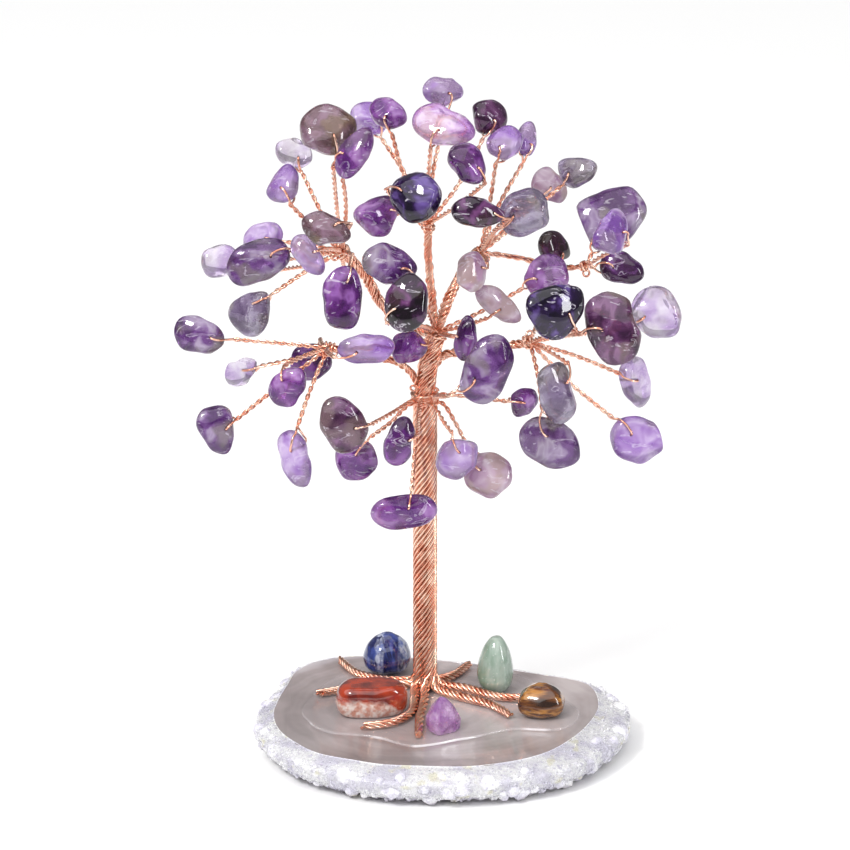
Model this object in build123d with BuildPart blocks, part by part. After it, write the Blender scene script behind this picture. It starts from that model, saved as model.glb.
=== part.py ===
"""Gemstone tree ornament.

A tree of drilled, tumbled amethyst chips on twisted copper wire.  Eight wire strands are laid
round a core as the trunk and splay out at the foot as its roots, on an agate slice that also
carries five polished base stones, all set in a pool of clear resin.

Millimetres.  The origin is on the underside of the slice, straight below the trunk.
+X is to the right of the photograph, +Y away from its camera and +Z up.
"""

import os
from math import cos, hypot, pi, radians, sin, sqrt
from typing import NamedTuple

from build123d import *

os.makedirs("parts", exist_ok=True)

# Overall sizes
tree_height = 134.0
crown_depth = 72.0
slice_length = 77.0
slice_depth = 65.5
slice_thickness = 7.0
slice_edge_round = 0.8

# Trunk, roots and limbs
trunk_diameter = 5.0
strand_gap = 0.04
lay_pitch = 20.3
foot_rise = 3.0
root_diameter = 1.8
root_start_reach = 2.75
core_clearance = 0.04
binding_height = 2.4
binding_overhang = 0.35
binding_groove = 0.3
limb_wire_packing = 1.04
knot_swell = 0.75

# Wire that carries the chips
wire_diameter = 0.44
pair_gap = 0.06
bore_play = 0.02
stem_clearance = 0.6
crotch_exit_reach = 3.9

# Resin
resin_thickness = 0.6
resin_edge = 0.3

# Counts
strand_count = 8
runs_per_turn = 7
wire_sides = 6
rope_sides = 6
wrap_count = 3
binding_sides = 12

# Shape shares
bore_place_share = 0.40
stem_place_share = 1.45
loop_lift_share = 0.11
low_exit_share = 0.25
high_exit_share = 0.75

# How the photograph sees the tree, in its own pixels
picture_axis_pixel = 425
picture_middle_pixel = 425
tree_height_pixels = 670
view_tilt = 18.0
view_distance_share = 5.224
view_aim_share = 0.4754
crown_middle_pixel = 305
crown_half_pixels = 240

# How far the outermost chips turn outwards with the crown
crown_nod = -26.0
crown_turn = 20.0

# Derived sizes
pixel = tree_height / tree_height_pixels
view_distance = view_distance_share * tree_height
view_aim = view_aim_share * tree_height
slice_top = slice_thickness
wire_radius = wire_diameter / 2
pair_offset = (wire_diameter + pair_gap) / 2
bore_radius = (wire_radius + bore_play) / cos(pi / wire_sides)
trunk_radius = trunk_diameter / 2
root_radius = root_diameter / 2


class Spot(NamedTuple):
    """A place in the crown: picture pixels across and down, and a share of half its depth."""

    across_pixel: float
    down_pixel: float
    depth_share: float


class Chip(NamedTuple):
    """A drilled chip: its place, its size in picture pixels, its turns and its form."""

    spot: Spot
    long_pixels: float
    wide_pixels: float
    tilt: float
    turn: float
    form: str
    thick_share: float


def crown_point(spot: Spot) -> Vector:
    """The point of the tree that the photograph shows at a spot."""
    y = spot.depth_share * crown_depth / 2
    tilt_cos = cos(radians(view_tilt))
    tilt_sin = sin(radians(view_tilt))
    slope = (picture_middle_pixel - spot.down_pixel) * pixel / view_distance
    rise = (slope * (view_distance + y * tilt_cos) - y * tilt_sin) / (tilt_cos + slope * tilt_sin)
    away = view_distance + y * tilt_cos - rise * tilt_sin
    x = (spot.across_pixel - picture_axis_pixel) * pixel * away / view_distance
    return Vector(x, y, view_aim + rise)


def facing_plane(point: Vector) -> Plane:
    """The plane through a point that squarely faces the photograph's camera."""
    toward_camera = (0, -cos(radians(view_tilt)), sin(radians(view_tilt)))
    return Plane(origin=point, x_dir=(1, 0, 0), z_dir=toward_camera)


# Outlines of tumbled stones, as shares of their length and width
outline_shares = {
    "oval": (
        (0.50, 0.04), (0.33, 0.42), (-0.08, 0.50), (-0.42, 0.30),
        (-0.50, -0.12), (-0.24, -0.47), (0.28, -0.44),
    ),
    "egg": (
        (0.50, -0.02), (0.30, 0.33), (-0.10, 0.50), (-0.43, 0.34),
        (-0.50, -0.10), (-0.28, -0.46), (0.22, -0.40),
    ),
    "wedge": (
        (0.50, -0.10), (0.20, 0.26), (-0.26, 0.50), (-0.47, 0.36),
        (-0.50, -0.22), (-0.30, -0.50), (0.26, -0.42),
    ),
    "block": (
        (0.47, 0.28), (0.16, 0.50), (-0.36, 0.46), (-0.50, 0.06),
        (-0.44, -0.42), (0.08, -0.50), (0.50, -0.24),
    ),
    "leaf": (
        (0.50, 0.02), (0.16, 0.40), (-0.22, 0.50), (-0.50, 0.16),
        (-0.44, -0.26), (-0.08, -0.50), (0.28, -0.32),
    ),
}

# Levels of a drilled chip: share of its thickness, share of its outline
chip_level_shares = ((-0.50, 0.50), (-0.20, 0.93), (0.16, 1.00), (0.50, 0.56))

# Levels of a knot: share of its radius along the limb, share of its radius across
knot_level_shares = ((-1.0, 0.5), (-0.45, 1.0), (0.45, 1.0), (1.0, 0.5))


def ring_corners(radius: float, sides: int) -> list:
    """The corners of a regular polygon."""
    angles = [2 * pi * side / sides for side in range(sides)]
    return [(radius * cos(angle), radius * sin(angle)) for angle in angles]


def flat_faced(place: Plane, corners: list, levels: list) -> Part:
    """A convex solid with flat faces: its corners, scaled by a share at each rise above the place."""
    points = [
        place.from_local_coords((across * share, along * share, rise))
        for rise, share in levels
        for across, along in corners
    ]
    with BuildPart() as solid:
        ConvexPolyhedron(points)
    return solid.part


def tumbled_stone(
    place: Plane, form: str, level_shares: tuple, length: float, width: float, height: float
) -> Part:
    """A tumbled stone whose levels are counted from the place's origin."""
    corners = [(across * length, along * width) for across, along in outline_shares[form]]
    return flat_faced(place, corners, [(rise * height, share) for rise, share in level_shares])


def straight_run_tube(points: list, radius: float, sides: int) -> Part:
    """A wire of straight mitred runs through points."""
    with BuildPart() as tube:
        with BuildLine() as route:
            Polyline(*points)
        start = route.line @ 0
        with BuildSketch(Plane(origin=start, z_dir=route.line % 0)):
            RegularPolygon(radius, sides)
        sweep(path=route.line, transition=Transition.RIGHT)
    return tube.part


def save(part: Part, name: str) -> None:
    """Label a finished piece and write it."""
    part.label = name
    export_step(part, f"parts/{name}.step")


# Agate slice
# Its outline, as shares of the slice's length and depth
slice_outline_shares = (
    (-0.44, -0.10), (-0.405, 0.04), (-0.365, 0.185), (-0.285, 0.272), (-0.15, 0.298), (0.12, 0.237),
    (0.325, 0.145), (0.475, 0.06), (0.545, -0.11), (0.53, -0.30), (0.47, -0.45), (0.39, -0.57),
    (0.29, -0.645), (0.14, -0.70), (-0.01, -0.702), (-0.14, -0.68), (-0.215, -0.635), (-0.32, -0.56),
    (-0.385, -0.465), (-0.435, -0.345), (-0.452, -0.21),
)

with BuildPart() as agate_slice:
    with BuildSketch():
        with BuildLine():
            Polyline(*[(x * slice_length, y * slice_depth) for x, y in slice_outline_shares], close=True)
        make_face()
    extrude(amount=slice_thickness)
    chamfer(agate_slice.edges().group_by(Axis.Z)[-1], slice_edge_round)
save(agate_slice.part, "agate_slice")


# Trunk and roots
# Where the trunk's strands end and the limbs part
crotch = crown_point(Spot(425, 392, 0.0))
trunk_foot = slice_top + foot_rise
binding_bottom = crotch.Z - binding_height
lay_slope = lay_pitch / (pi * trunk_diameter)
lay_sine = lay_slope / hypot(1, lay_slope)
lay_cosine = 1 / hypot(1, lay_slope)
nest_share = sin(pi / strand_count) * lay_sine * cos(pi / runs_per_turn)
strand_radius = (trunk_radius * nest_share - strand_gap / 2) / (1 + nest_share)
strand_ring = trunk_radius - strand_radius
laid_height = binding_bottom - strand_radius * lay_cosine - trunk_foot
laid_turns = laid_height / lay_pitch
core_radius = strand_ring * cos(pi / runs_per_turn) - strand_radius - core_clearance

# Each root from the trunk outwards, as shares of the slice's length and depth
root_shares = {
    "right_back": ((0.070, 0.065), (0.100, 0.120), (0.118, 0.165)),
    "back": ((0.000, 0.110), (0.016, 0.175), (-0.006, 0.235)),
    "left_back": ((-0.097, 0.030), (-0.178, 0.088), (-0.232, 0.205)),
    "left": ((-0.100, -0.012), (-0.185, -0.030), (-0.285, -0.078)),
    "front_left": ((-0.028, -0.125), (-0.038, -0.235), (-0.088, -0.310), (-0.165, -0.340)),
    "front": ((-0.002, -0.140), (-0.014, -0.280), (-0.016, -0.420)),
    "right_front": ((0.075, -0.085), (0.170, -0.165), (0.222, -0.250)),
    "right": ((0.117, -0.040), (0.200, -0.105), (0.272, -0.112)),
}
root_order = ("right", "right_back", "back", "left_back", "left", "front_left", "front", "right_front")


def helix_point(first_angle: float, turns: float) -> Vector:
    """A point of a trunk strand, a number of turns above the foot."""
    angle = first_angle + turns * 2 * pi
    return Vector(strand_ring * cos(angle), strand_ring * sin(angle), trunk_foot + turns * lay_pitch)


def foot_point(first_angle: float) -> Vector:
    """Where a strand passes into its root, beside the core."""
    x = root_start_reach * cos(first_angle)
    y = root_start_reach * sin(first_angle)
    return Vector(x, y, slice_top + root_radius)


def strand_route(first_angle: float) -> list:
    """A strand's route from its root, up round the core, to the binding."""
    run_count = round(laid_turns * runs_per_turn)
    laid = [helix_point(first_angle, laid_turns * step / run_count) for step in range(run_count + 1)]
    return [foot_point(first_angle)] + laid


def root_route(first_angle: float, share_points: tuple) -> list:
    """A root's route over the slice, out to its tip."""
    lying = slice_top + root_radius
    outer = [Vector(x * slice_length, y * slice_depth, lying) for x, y in share_points]
    return [foot_point(first_angle)] + outer


foot_plane = Plane.XY.offset(trunk_foot)
roots = {}
for number, name in enumerate(root_order):
    first_angle = 2 * pi * number / strand_count
    wire_rope = straight_run_tube(strand_route(first_angle), strand_radius, rope_sides)
    with BuildPart() as strand:
        add(wire_rope)
        split(bisect_by=foot_plane, keep=Keep.TOP)
    with BuildPart() as root:
        add(wire_rope)
        split(bisect_by=foot_plane, keep=Keep.BOTTOM)
        add(straight_run_tube(root_route(first_angle, root_shares[name]), root_radius, rope_sides))
    roots[name] = root.part
    save(strand.part, f"strand_{name}")
    save(root.part, f"root_{name}")

with BuildPart() as trunk_core:
    with BuildSketch(Plane.XY.offset(slice_top)):
        RegularPolygon(core_radius, runs_per_turn)
    extrude(amount=binding_bottom - slice_top)
save(trunk_core.part, "trunk_core")

# Wraps of wire close the top of the trunk, where the limbs part
binding_radius = trunk_radius + binding_overhang
groove_share = 1 - binding_groove / binding_radius
wrap_height = binding_height / wrap_count
wrap_levels = [(0, groove_share), (wrap_height / 2, 1), (wrap_height, groove_share)]
with BuildPart() as crotch_binding:
    for number in range(wrap_count):
        wrap_seat = Plane.XY.offset(binding_bottom + number * wrap_height)
        add(flat_faced(wrap_seat, ring_corners(binding_radius, binding_sides), wrap_levels))
save(crotch_binding.part, "crotch_binding")


# Limbs
# Each limb rope: its route and how many chip wires it carries
limb_routes = {
    "neck": (
        (Spot(425, 396, 0.0), Spot(427, 372, 0.0), Spot(436, 332, 0.0)),
        40,
    ),
    "leader": (
        (Spot(436, 334, 0.0), Spot(431, 288, 0.03), Spot(428, 252, 0.05), Spot(428, 224, 0.03)),
        9,
    ),
    "upper_right_limb": (
        (Spot(436, 334, 0.0), Spot(450, 296, -0.04), Spot(464, 270, 0.02), Spot(480, 253, 0.05)),
        12,
    ),
    "far_right_limb": (
        (Spot(480, 253, 0.05), Spot(520, 258, 0.18), Spot(556, 268, 0.22), Spot(586, 266, 0.14)),
        4,
    ),
    "right_limb": (
        (Spot(427, 394, 0.0), Spot(440, 358, 0.04), Spot(484, 350, 0.02), Spot(530, 342, -0.06)),
        9,
    ),
    "upper_left_limb": (
        (
            Spot(436, 334, 0.0), Spot(412, 326, 0.10), Spot(382, 304, 0.10),
            Spot(364, 274, 0.04), Spot(342, 251, 0.0),
        ),
        13,
    ),
    "left_limb": (
        (Spot(423, 394, 0.0), Spot(404, 366, -0.06), Spot(368, 356, -0.12), Spot(328, 348, -0.08)),
        7,
    ),
}


def rope_radius(wires: int) -> float:
    """Radius of a rope that holds a pair of wires for each chip beyond it."""
    return limb_wire_packing * wire_diameter * sqrt(2 * wires) / 2


def knot(point: Vector, toward: Vector, radius: float) -> Part:
    """The lump where a limb's wires part: a many-sided bead."""
    levels = [(rise * radius, share) for rise, share in knot_level_shares]
    return flat_faced(Plane(origin=point, z_dir=toward), ring_corners(radius, rope_sides), levels)


def boxes_meet(one: Solid, other: Solid) -> bool:
    """Whether the bounding boxes of two shapes meet."""
    first = one.bounding_box()
    second = other.bounding_box()
    apart_x = first.min.X > second.max.X or second.min.X > first.max.X
    apart_y = first.min.Y > second.max.Y or second.min.Y > first.max.Y
    apart_z = first.min.Z > second.max.Z or second.min.Z > first.max.Z
    return not (apart_x or apart_y or apart_z)


def seated(piece: Solid, others) -> Solid:
    """The piece cut back to the surfaces of those that it leaves or crosses."""
    with BuildPart() as cut:
        add(piece)
        for other in others:
            if boxes_meet(piece, other):
                add(other, mode=Mode.SUBTRACT)
    return cut.part.solids().sort_by(SortBy.VOLUME)[-1]


limbs = {"crotch": crotch_binding.part}
knot_points = {}
for name, (spots, wires) in limb_routes.items():
    route = [crown_point(spot) for spot in spots]
    radius = rope_radius(wires)
    rope = straight_run_tube(route, radius, rope_sides)
    bead = knot(route[-1], route[-1] - route[-2], radius + knot_swell)
    with BuildPart() as limb:
        add(rope)
        add(bead)
    limbs[name] = seated(limb.part, limbs.values())
    knot_points[name] = route[-1]
    save(limbs[name], name)


# Chips
# Each limb's chips: place, long and wide pixels, tilt, turn, form, thickness share.
# The crotch's are listed by turns from the top and the bottom of the binding.
chip_tables = {
    "leader": (
        Chip(Spot(370, 118, 0.30), 44, 38, 10, 23, "oval", 0.62),
        Chip(Spot(388, 114, 0.02), 46, 34, -25, -15, "egg", 0.66),
        Chip(Spot(445, 91, 0.10), 50, 33, 15, 19, "leaf", 0.66),
        Chip(Spot(445, 126, -0.28), 72, 44, -20, -11, "leaf", 0.50),
        Chip(Spot(490, 117, 0.18), 40, 34, 20, 27, "block", 0.70),
        Chip(Spot(468, 164, -0.54), 48, 38, -55, 19, "egg", 0.66),
        Chip(Spot(416, 197, -0.72), 58, 50, -50, -19, "oval", 0.60),
        Chip(Spot(377, 212, -0.35), 48, 44, 60, 30, "wedge", 0.60),
        Chip(Spot(414, 190, 0.72), 44, 34, 30, -38, "oval", 0.62),
    ),
    "upper_right_limb": (
        Chip(Spot(505, 143, 0.02), 38, 34, 40, -23, "block", 0.66),
        Chip(Spot(527, 138, 0.34), 46, 24, 82, 34, "leaf", 0.70),
        Chip(Spot(578, 169, 0.24), 44, 36, 18, -34, "wedge", 0.62),
        Chip(Spot(550, 186, 0.44), 42, 34, -30, 19, "block", 0.66),
        Chip(Spot(480, 213, -0.66), 62, 32, 0, 15, "leaf", 0.72),
        Chip(Spot(525, 213, -0.17), 56, 50, 30, -19, "oval", 0.56),
        Chip(Spot(471, 271, -0.47), 42, 34, 75, 27, "egg", 0.66),
        Chip(Spot(524, 218, 0.86), 42, 36, -20, 38, "egg", 0.66),
    ),
    "far_right_limb": (
        Chip(Spot(611, 216, 0.22), 74, 62, 30, -15, "block", 0.46),
        Chip(Spot(610, 229, -0.24), 50, 42, 80, 23, "wedge", 0.54),
        Chip(Spot(555, 248, 0.30), 42, 34, -20, 27, "egg", 0.66),
        Chip(Spot(623, 269, 0.17), 52, 36, -20, -19, "egg", 0.66),
    ),
    "neck": (
        Chip(Spot(391, 265, -0.60), 60, 42, -10, 15, "leaf", 0.62),
        Chip(Spot(407, 302, -0.88), 64, 44, 86, -15, "oval", 0.62),
        Chip(Spot(409, 347, -0.16), 42, 32, 10, 38, "block", 0.66),
        Chip(Spot(547, 276, 0.00), 50, 46, 40, -23, "oval", 0.56),
        Chip(Spot(500, 306, -0.34), 62, 28, -30, 19, "leaf", 0.76),
        Chip(Spot(466, 337, -0.50), 52, 24, 84, -30, "leaf", 0.80),
    ),
    "right_limb": (
        Chip(Spot(556, 305, -0.62), 66, 60, 45, 15, "wedge", 0.52),
        Chip(Spot(613, 328, -0.50), 76, 52, -75, -19, "block", 0.54),
        Chip(Spot(657, 314, 0.06), 62, 54, -45, -27, "egg", 0.50),
        Chip(Spot(556, 392, -0.52), 66, 38, -70, 19, "block", 0.62),
        Chip(Spot(551, 444, -0.36), 68, 48, -30, -15, "oval", 0.54),
        Chip(Spot(636, 382, 0.18), 54, 36, -65, 30, "block", 0.60),
        Chip(Spot(638, 440, -0.20), 60, 50, -15, -11, "egg", 0.52),
        Chip(Spot(560, 300, 0.64), 44, 38, 15, 34, "block", 0.62),
        Chip(Spot(610, 330, 0.66), 46, 36, -60, -30, "oval", 0.62),
    ),
    "upper_left_limb": (
        Chip(Spot(329, 130, -0.30), 60, 56, 20, 15, "oval", 0.54),
        Chip(Spot(356, 151, -0.58), 62, 34, 60, -23, "egg", 0.70),
        Chip(Spot(294, 153, 0.36), 42, 32, -20, 27, "oval", 0.62),
        Chip(Spot(283, 182, -0.14), 42, 36, 80, -19, "wedge", 0.58),
        Chip(Spot(327, 230, -0.67), 56, 34, -15, 11, "leaf", 0.66),
        Chip(Spot(220, 261, 0.38), 40, 34, 20, 30, "block", 0.62),
        Chip(Spot(262, 238, 0.20), 54, 32, 8, -15, "oval", 0.62),
        Chip(Spot(258, 261, -0.35), 68, 42, 20, 11, "block", 0.56),
        Chip(Spot(309, 256, -0.50), 48, 28, -55, 11, "egg", 0.72),
        Chip(Spot(252, 309, 0.16), 52, 46, 50, -23, "wedge", 0.52),
        Chip(Spot(342, 297, -0.66), 68, 40, 86, 15, "block", 0.60),
        Chip(Spot(340, 294, 0.70), 46, 34, 70, -34, "oval", 0.64),
        Chip(Spot(262, 262, 0.74), 44, 32, 10, 38, "egg", 0.64),
    ),
    "left_limb": (
        Chip(Spot(201, 336, -0.12), 60, 40, -15, 15, "egg", 0.60),
        Chip(Spot(242, 371, 0.22), 48, 30, 30, -23, "leaf", 0.66),
        Chip(Spot(311, 362, 0.25), 44, 38, 10, 19, "block", 0.60),
        Chip(Spot(289, 386, -0.60), 50, 36, 50, -15, "egg", 0.66),
        Chip(Spot(220, 431, -0.34), 56, 40, -65, 23, "wedge", 0.60),
        Chip(Spot(295, 460, -0.30), 64, 34, -78, -19, "block", 0.62),
        Chip(Spot(368, 349, -0.72), 66, 30, 0, 11, "oval", 0.76),
    ),
    "crotch": (
        Chip(Spot(344, 427, -0.62), 68, 44, -60, 15, "oval", 0.58),
        Chip(Spot(357, 460, -0.30), 48, 42, 20, -23, "block", 0.58),
        Chip(Spot(400, 440, -0.74), 56, 31, 75, 19, "egg", 0.74),
        Chip(Spot(405, 512, -0.50), 74, 38, 0, 8, "oval", 0.62),
        Chip(Spot(487, 370, -0.76), 78, 46, 65, -11, "leaf", 0.56),
        Chip(Spot(458, 457, -0.34), 50, 46, 30, 15, "egg", 0.56),
        Chip(Spot(524, 402, 0.04), 34, 28, 20, 30, "block", 0.72),
        Chip(Spot(488, 475, -0.18), 52, 50, -20, -15, "oval", 0.54),
    ),
}


def outline_reach(form: str, length: float, width: float, toward_x: float, toward_y: float) -> float:
    """How far a stone's outline reaches from its middle in a direction."""
    corners = [(across * length, along * width) for across, along in outline_shares[form]]
    reach = 0
    for (x1, y1), (x2, y2) in zip(corners, corners[1:] + corners[:1]):
        cross = toward_x * (y2 - y1) - toward_y * (x2 - x1)
        if cross != 0:
            distance = (x1 * (y2 - y1) - y1 * (x2 - x1)) / cross
            edge_share = (x1 * toward_y - y1 * toward_x) / cross
            if 0 <= edge_share <= 1:
                reach = max(reach, distance)
    return reach


def bead_and_wire(chip: Chip, way_out: list) -> tuple:
    """A drilled chip and the doubled wire that threads it, from the points of its way out of the limb."""
    facing = facing_plane(crown_point(chip.spot))
    nod = crown_nod * (crown_middle_pixel - chip.spot.down_pixel) / crown_half_pixels
    turn = chip.turn + crown_turn * (chip.spot.across_pixel - picture_axis_pixel) / crown_half_pixels
    place = Plane(facing.location * Rotation(nod, turn, chip.tilt))
    length = chip.long_pixels * pixel
    width = chip.wide_pixels * pixel
    thickness = width * chip.thick_share
    stone = tumbled_stone(place, chip.form, chip_level_shares, length, width, thickness)

    local_from = place.to_local_coords(way_out[-1])
    toward_x = local_from.X / hypot(local_from.X, local_from.Y)
    toward_y = local_from.Y / hypot(local_from.X, local_from.Y)
    reach = outline_reach(chip.form, length, width, toward_x, toward_y)
    bore_x = toward_x * reach * bore_place_share
    bore_y = toward_y * reach * bore_place_share
    bore_middle = place.from_local_coords((bore_x, bore_y, 0))
    bore_plane = Plane(origin=bore_middle, x_dir=place.x_dir, z_dir=place.z_dir)
    with BuildPart() as drilled:
        add(stone)
        with BuildSketch(bore_plane):
            RegularPolygon(bore_radius, wire_sides)
        extrude(amount=thickness, both=True, mode=Mode.SUBTRACT)

    stem_reach = reach * stem_place_share + stem_clearance
    stem = place.from_local_coords((toward_x * stem_reach, toward_y * stem_reach, 0))
    leg = (stem - way_out[-1]).normalized()
    if len(way_out) > 1:
        across_pair = (way_out[-1] - way_out[0]).cross(leg)
    else:
        across_pair = place.z_dir - leg * place.z_dir.dot(leg)
    side = across_pair.normalized() * pair_offset
    mouth = thickness / 2 + wire_radius + reach * loop_lift_share
    front_mouth = bore_plane.from_local_coords((0, 0, mouth))
    back_mouth = bore_plane.from_local_coords((0, 0, -mouth))
    front_leg = [point + side for point in way_out + [stem]]
    back_leg = [point - side for point in [stem] + way_out[::-1]]
    wire = straight_run_tube(front_leg + [front_mouth, back_mouth] + back_leg, wire_radius, wire_sides)
    return drilled.part.solid(), wire


def crotch_way_out(chip: Chip, exit_share: float) -> list:
    """The way of a chip's wire out through the side of the binding."""
    middle = Vector(0, 0, binding_bottom + exit_share * binding_height)
    outward = crown_point(chip.spot) - middle
    flat = Vector(outward.X, outward.Y, 0).normalized()
    return [middle, middle + flat * crotch_exit_reach]


made_wires = []
for limb_name, chips in chip_tables.items():
    stones = []
    twigs = []
    for number, chip in enumerate(chips):
        if limb_name == "crotch":
            way_out = crotch_way_out(chip, low_exit_share if number % 2 else high_exit_share)
        else:
            way_out = [knot_points[limb_name]]
        stone, wire = bead_and_wire(chip, way_out)
        twig = seated(wire, list(limbs.values()) + made_wires)
        made_wires.append(twig)
        stones.append(stone)
        twigs.append(twig)
    short_name = limb_name.replace("_limb", "")
    save(Compound(children=stones), f"chips_{short_name}")
    save(Compound(children=twigs), f"chip_wires_{short_name}")


# Base stones
# Each: place as shares of the slice, length, width, height, turn, form and levels
dome_level_shares = ((0.0, 0.62), (0.16, 0.90), (0.42, 1.00), (0.72, 0.82), (0.92, 0.50), (1.0, 0.22))
slab_level_shares = ((0.0, 0.90), (0.30, 1.00), (0.72, 0.98), (0.92, 0.90), (1.0, 0.76))
cone_level_shares = ((0.0, 0.78), (0.10, 0.98), (0.30, 1.00), (0.62, 0.74), (0.88, 0.40), (1.0, 0.16))
rough_level_shares = ((0.0, 0.94), (0.35, 1.00), (0.70, 0.62), (1.0, 0.20))


class BaseStone(NamedTuple):
    """A stone that sits on the slice."""

    across_share: float
    along_share: float
    length: float
    width: float
    height: float
    turn: float
    form: str
    level_shares: tuple


base_stones = {
    "sodalite_stone": BaseStone(-0.101, 0.135, 10.4, 9.4, 8.6, 10, "oval", dome_level_shares),
    "carnelian_stone": BaseStone(-0.140, -0.190, 14.2, 8.6, 6.2, 4, "block", slab_level_shares),
    "rough_amethyst_stone": BaseStone(0.047, -0.330, 7.4, 6.4, 7.6, 20, "wedge", rough_level_shares),
    "aventurine_stone": BaseStone(0.190, -0.012, 8.0, 7.6, 11.6, 60, "egg", cone_level_shares),
    "tiger_eye_stone": BaseStone(0.304, -0.215, 9.4, 8.2, 6.6, -12, "block", dome_level_shares),
}

stone_parts = {}
for name, entry in base_stones.items():
    seat = Plane.XY.offset(slice_top)
    seat = seat.move(Location((entry.across_share * slice_length, entry.along_share * slice_depth, 0)))
    seat = seat.rotated((0, 0, entry.turn))
    stone = tumbled_stone(seat, entry.form, entry.level_shares, entry.length, entry.width, entry.height)
    stone_parts[name] = stone
    save(stone, name)


# Resin pool
# Its outline, as shares of the slice's length and depth
resin_outline_shares = (
    (-0.30, -0.06), (-0.25, 0.08), (-0.13, 0.20), (0.02, 0.225), (0.17, 0.185), (0.29, 0.06),
    (0.35, -0.06), (0.41, -0.21), (0.36, -0.34), (0.23, -0.345), (0.10, -0.42), (-0.03, -0.475),
    (-0.14, -0.40), (-0.26, -0.36), (-0.33, -0.21),
)
with BuildPart() as resin_pool:
    with BuildSketch(Plane.XY.offset(slice_top)):
        with BuildLine():
            Polyline(*[(x * slice_length, y * slice_depth) for x, y in resin_outline_shares], close=True)
        make_face()
    extrude(amount=resin_thickness)
    chamfer(resin_pool.edges().group_by(Axis.Z)[-1], resin_edge)
    for embedded in list(stone_parts.values()) + list(roots.values()) + [trunk_core.part]:
        add(embedded, mode=Mode.SUBTRACT)
save(resin_pool.part, "resin_pool")
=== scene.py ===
"""Gemstone tree ornament: drilled amethyst chips on twisted copper wire, rooted on an agate slice."""

import logging
import math
import random
from dataclasses import dataclass, field
from enum import Enum
from typing import NamedTuple, Protocol

import bmesh
import bpy
from mathutils import Matrix, Vector, noise
from mathutils.bvhtree import BVHTree


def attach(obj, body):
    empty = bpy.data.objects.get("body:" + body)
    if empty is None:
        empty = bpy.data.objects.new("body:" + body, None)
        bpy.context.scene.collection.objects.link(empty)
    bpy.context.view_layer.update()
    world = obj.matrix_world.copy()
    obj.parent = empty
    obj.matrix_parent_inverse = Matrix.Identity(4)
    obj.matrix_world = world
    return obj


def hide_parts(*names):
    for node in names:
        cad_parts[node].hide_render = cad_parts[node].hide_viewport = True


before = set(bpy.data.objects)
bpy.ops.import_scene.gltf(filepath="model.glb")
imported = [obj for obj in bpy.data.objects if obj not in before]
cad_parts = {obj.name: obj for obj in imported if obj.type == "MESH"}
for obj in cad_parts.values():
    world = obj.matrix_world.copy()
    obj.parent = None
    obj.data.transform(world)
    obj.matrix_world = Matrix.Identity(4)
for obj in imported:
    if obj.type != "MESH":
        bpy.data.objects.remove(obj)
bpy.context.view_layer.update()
LOG = logging.getLogger("gemstone_tree")
MM = 0.001
TURN = 2 * math.pi
TINY = 1e-6

# Pairs of shares or sizes, screen colours of 0 to 255, and places or stretches along three axes
Share = tuple[float, float]
Shade = tuple[float, float, float]
Spot = tuple[float, float, float]

# The sizes of the tree, in millimetres, as its solids have them
PIXEL = 0.2
PICTURE_MIDDLE = 425
TREE_HEIGHT = 134.0
VIEW_DISTANCE = TREE_HEIGHT * 5.224
VIEW_AIM = TREE_HEIGHT * 0.4754
VIEW_TILT = math.radians(18.0)
CROWN_DEPTH = 72.0
SLICE_LENGTH = 77.0
SLICE_DEPTH = 65.5
SLICE_TOP = 7.0
STRAND_RING = 1.98
LAY_PITCH = 20.3
FOOT_RISE = 3.0
ROOT_START_REACH = 2.75
ROOT_RADIUS = 0.9
BINDING_HEIGHT = 2.4
WIRE_RADIUS = 0.23


class Form(Enum):
    """Outlines of tumbled stones, as shares of their length and width."""

    OVAL = (
        (0.50, 0.04), (0.33, 0.42), (-0.08, 0.50), (-0.42, 0.30),
        (-0.50, -0.12), (-0.24, -0.47), (0.28, -0.44),
    )
    EGG = (
        (0.50, -0.02), (0.30, 0.33), (-0.10, 0.50), (-0.43, 0.34),
        (-0.50, -0.10), (-0.28, -0.46), (0.22, -0.40),
    )
    WEDGE = (
        (0.50, -0.10), (0.20, 0.26), (-0.26, 0.50), (-0.47, 0.36),
        (-0.50, -0.22), (-0.30, -0.50), (0.26, -0.42),
    )
    BLOCK = (
        (0.47, 0.28), (0.16, 0.50), (-0.36, 0.46), (-0.50, 0.06),
        (-0.44, -0.42), (0.08, -0.50), (0.50, -0.24),
    )
    LEAF = (
        (0.50, 0.02), (0.16, 0.40), (-0.22, 0.50), (-0.50, 0.16),
        (-0.44, -0.26), (-0.08, -0.50), (0.28, -0.32),
    )


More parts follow.
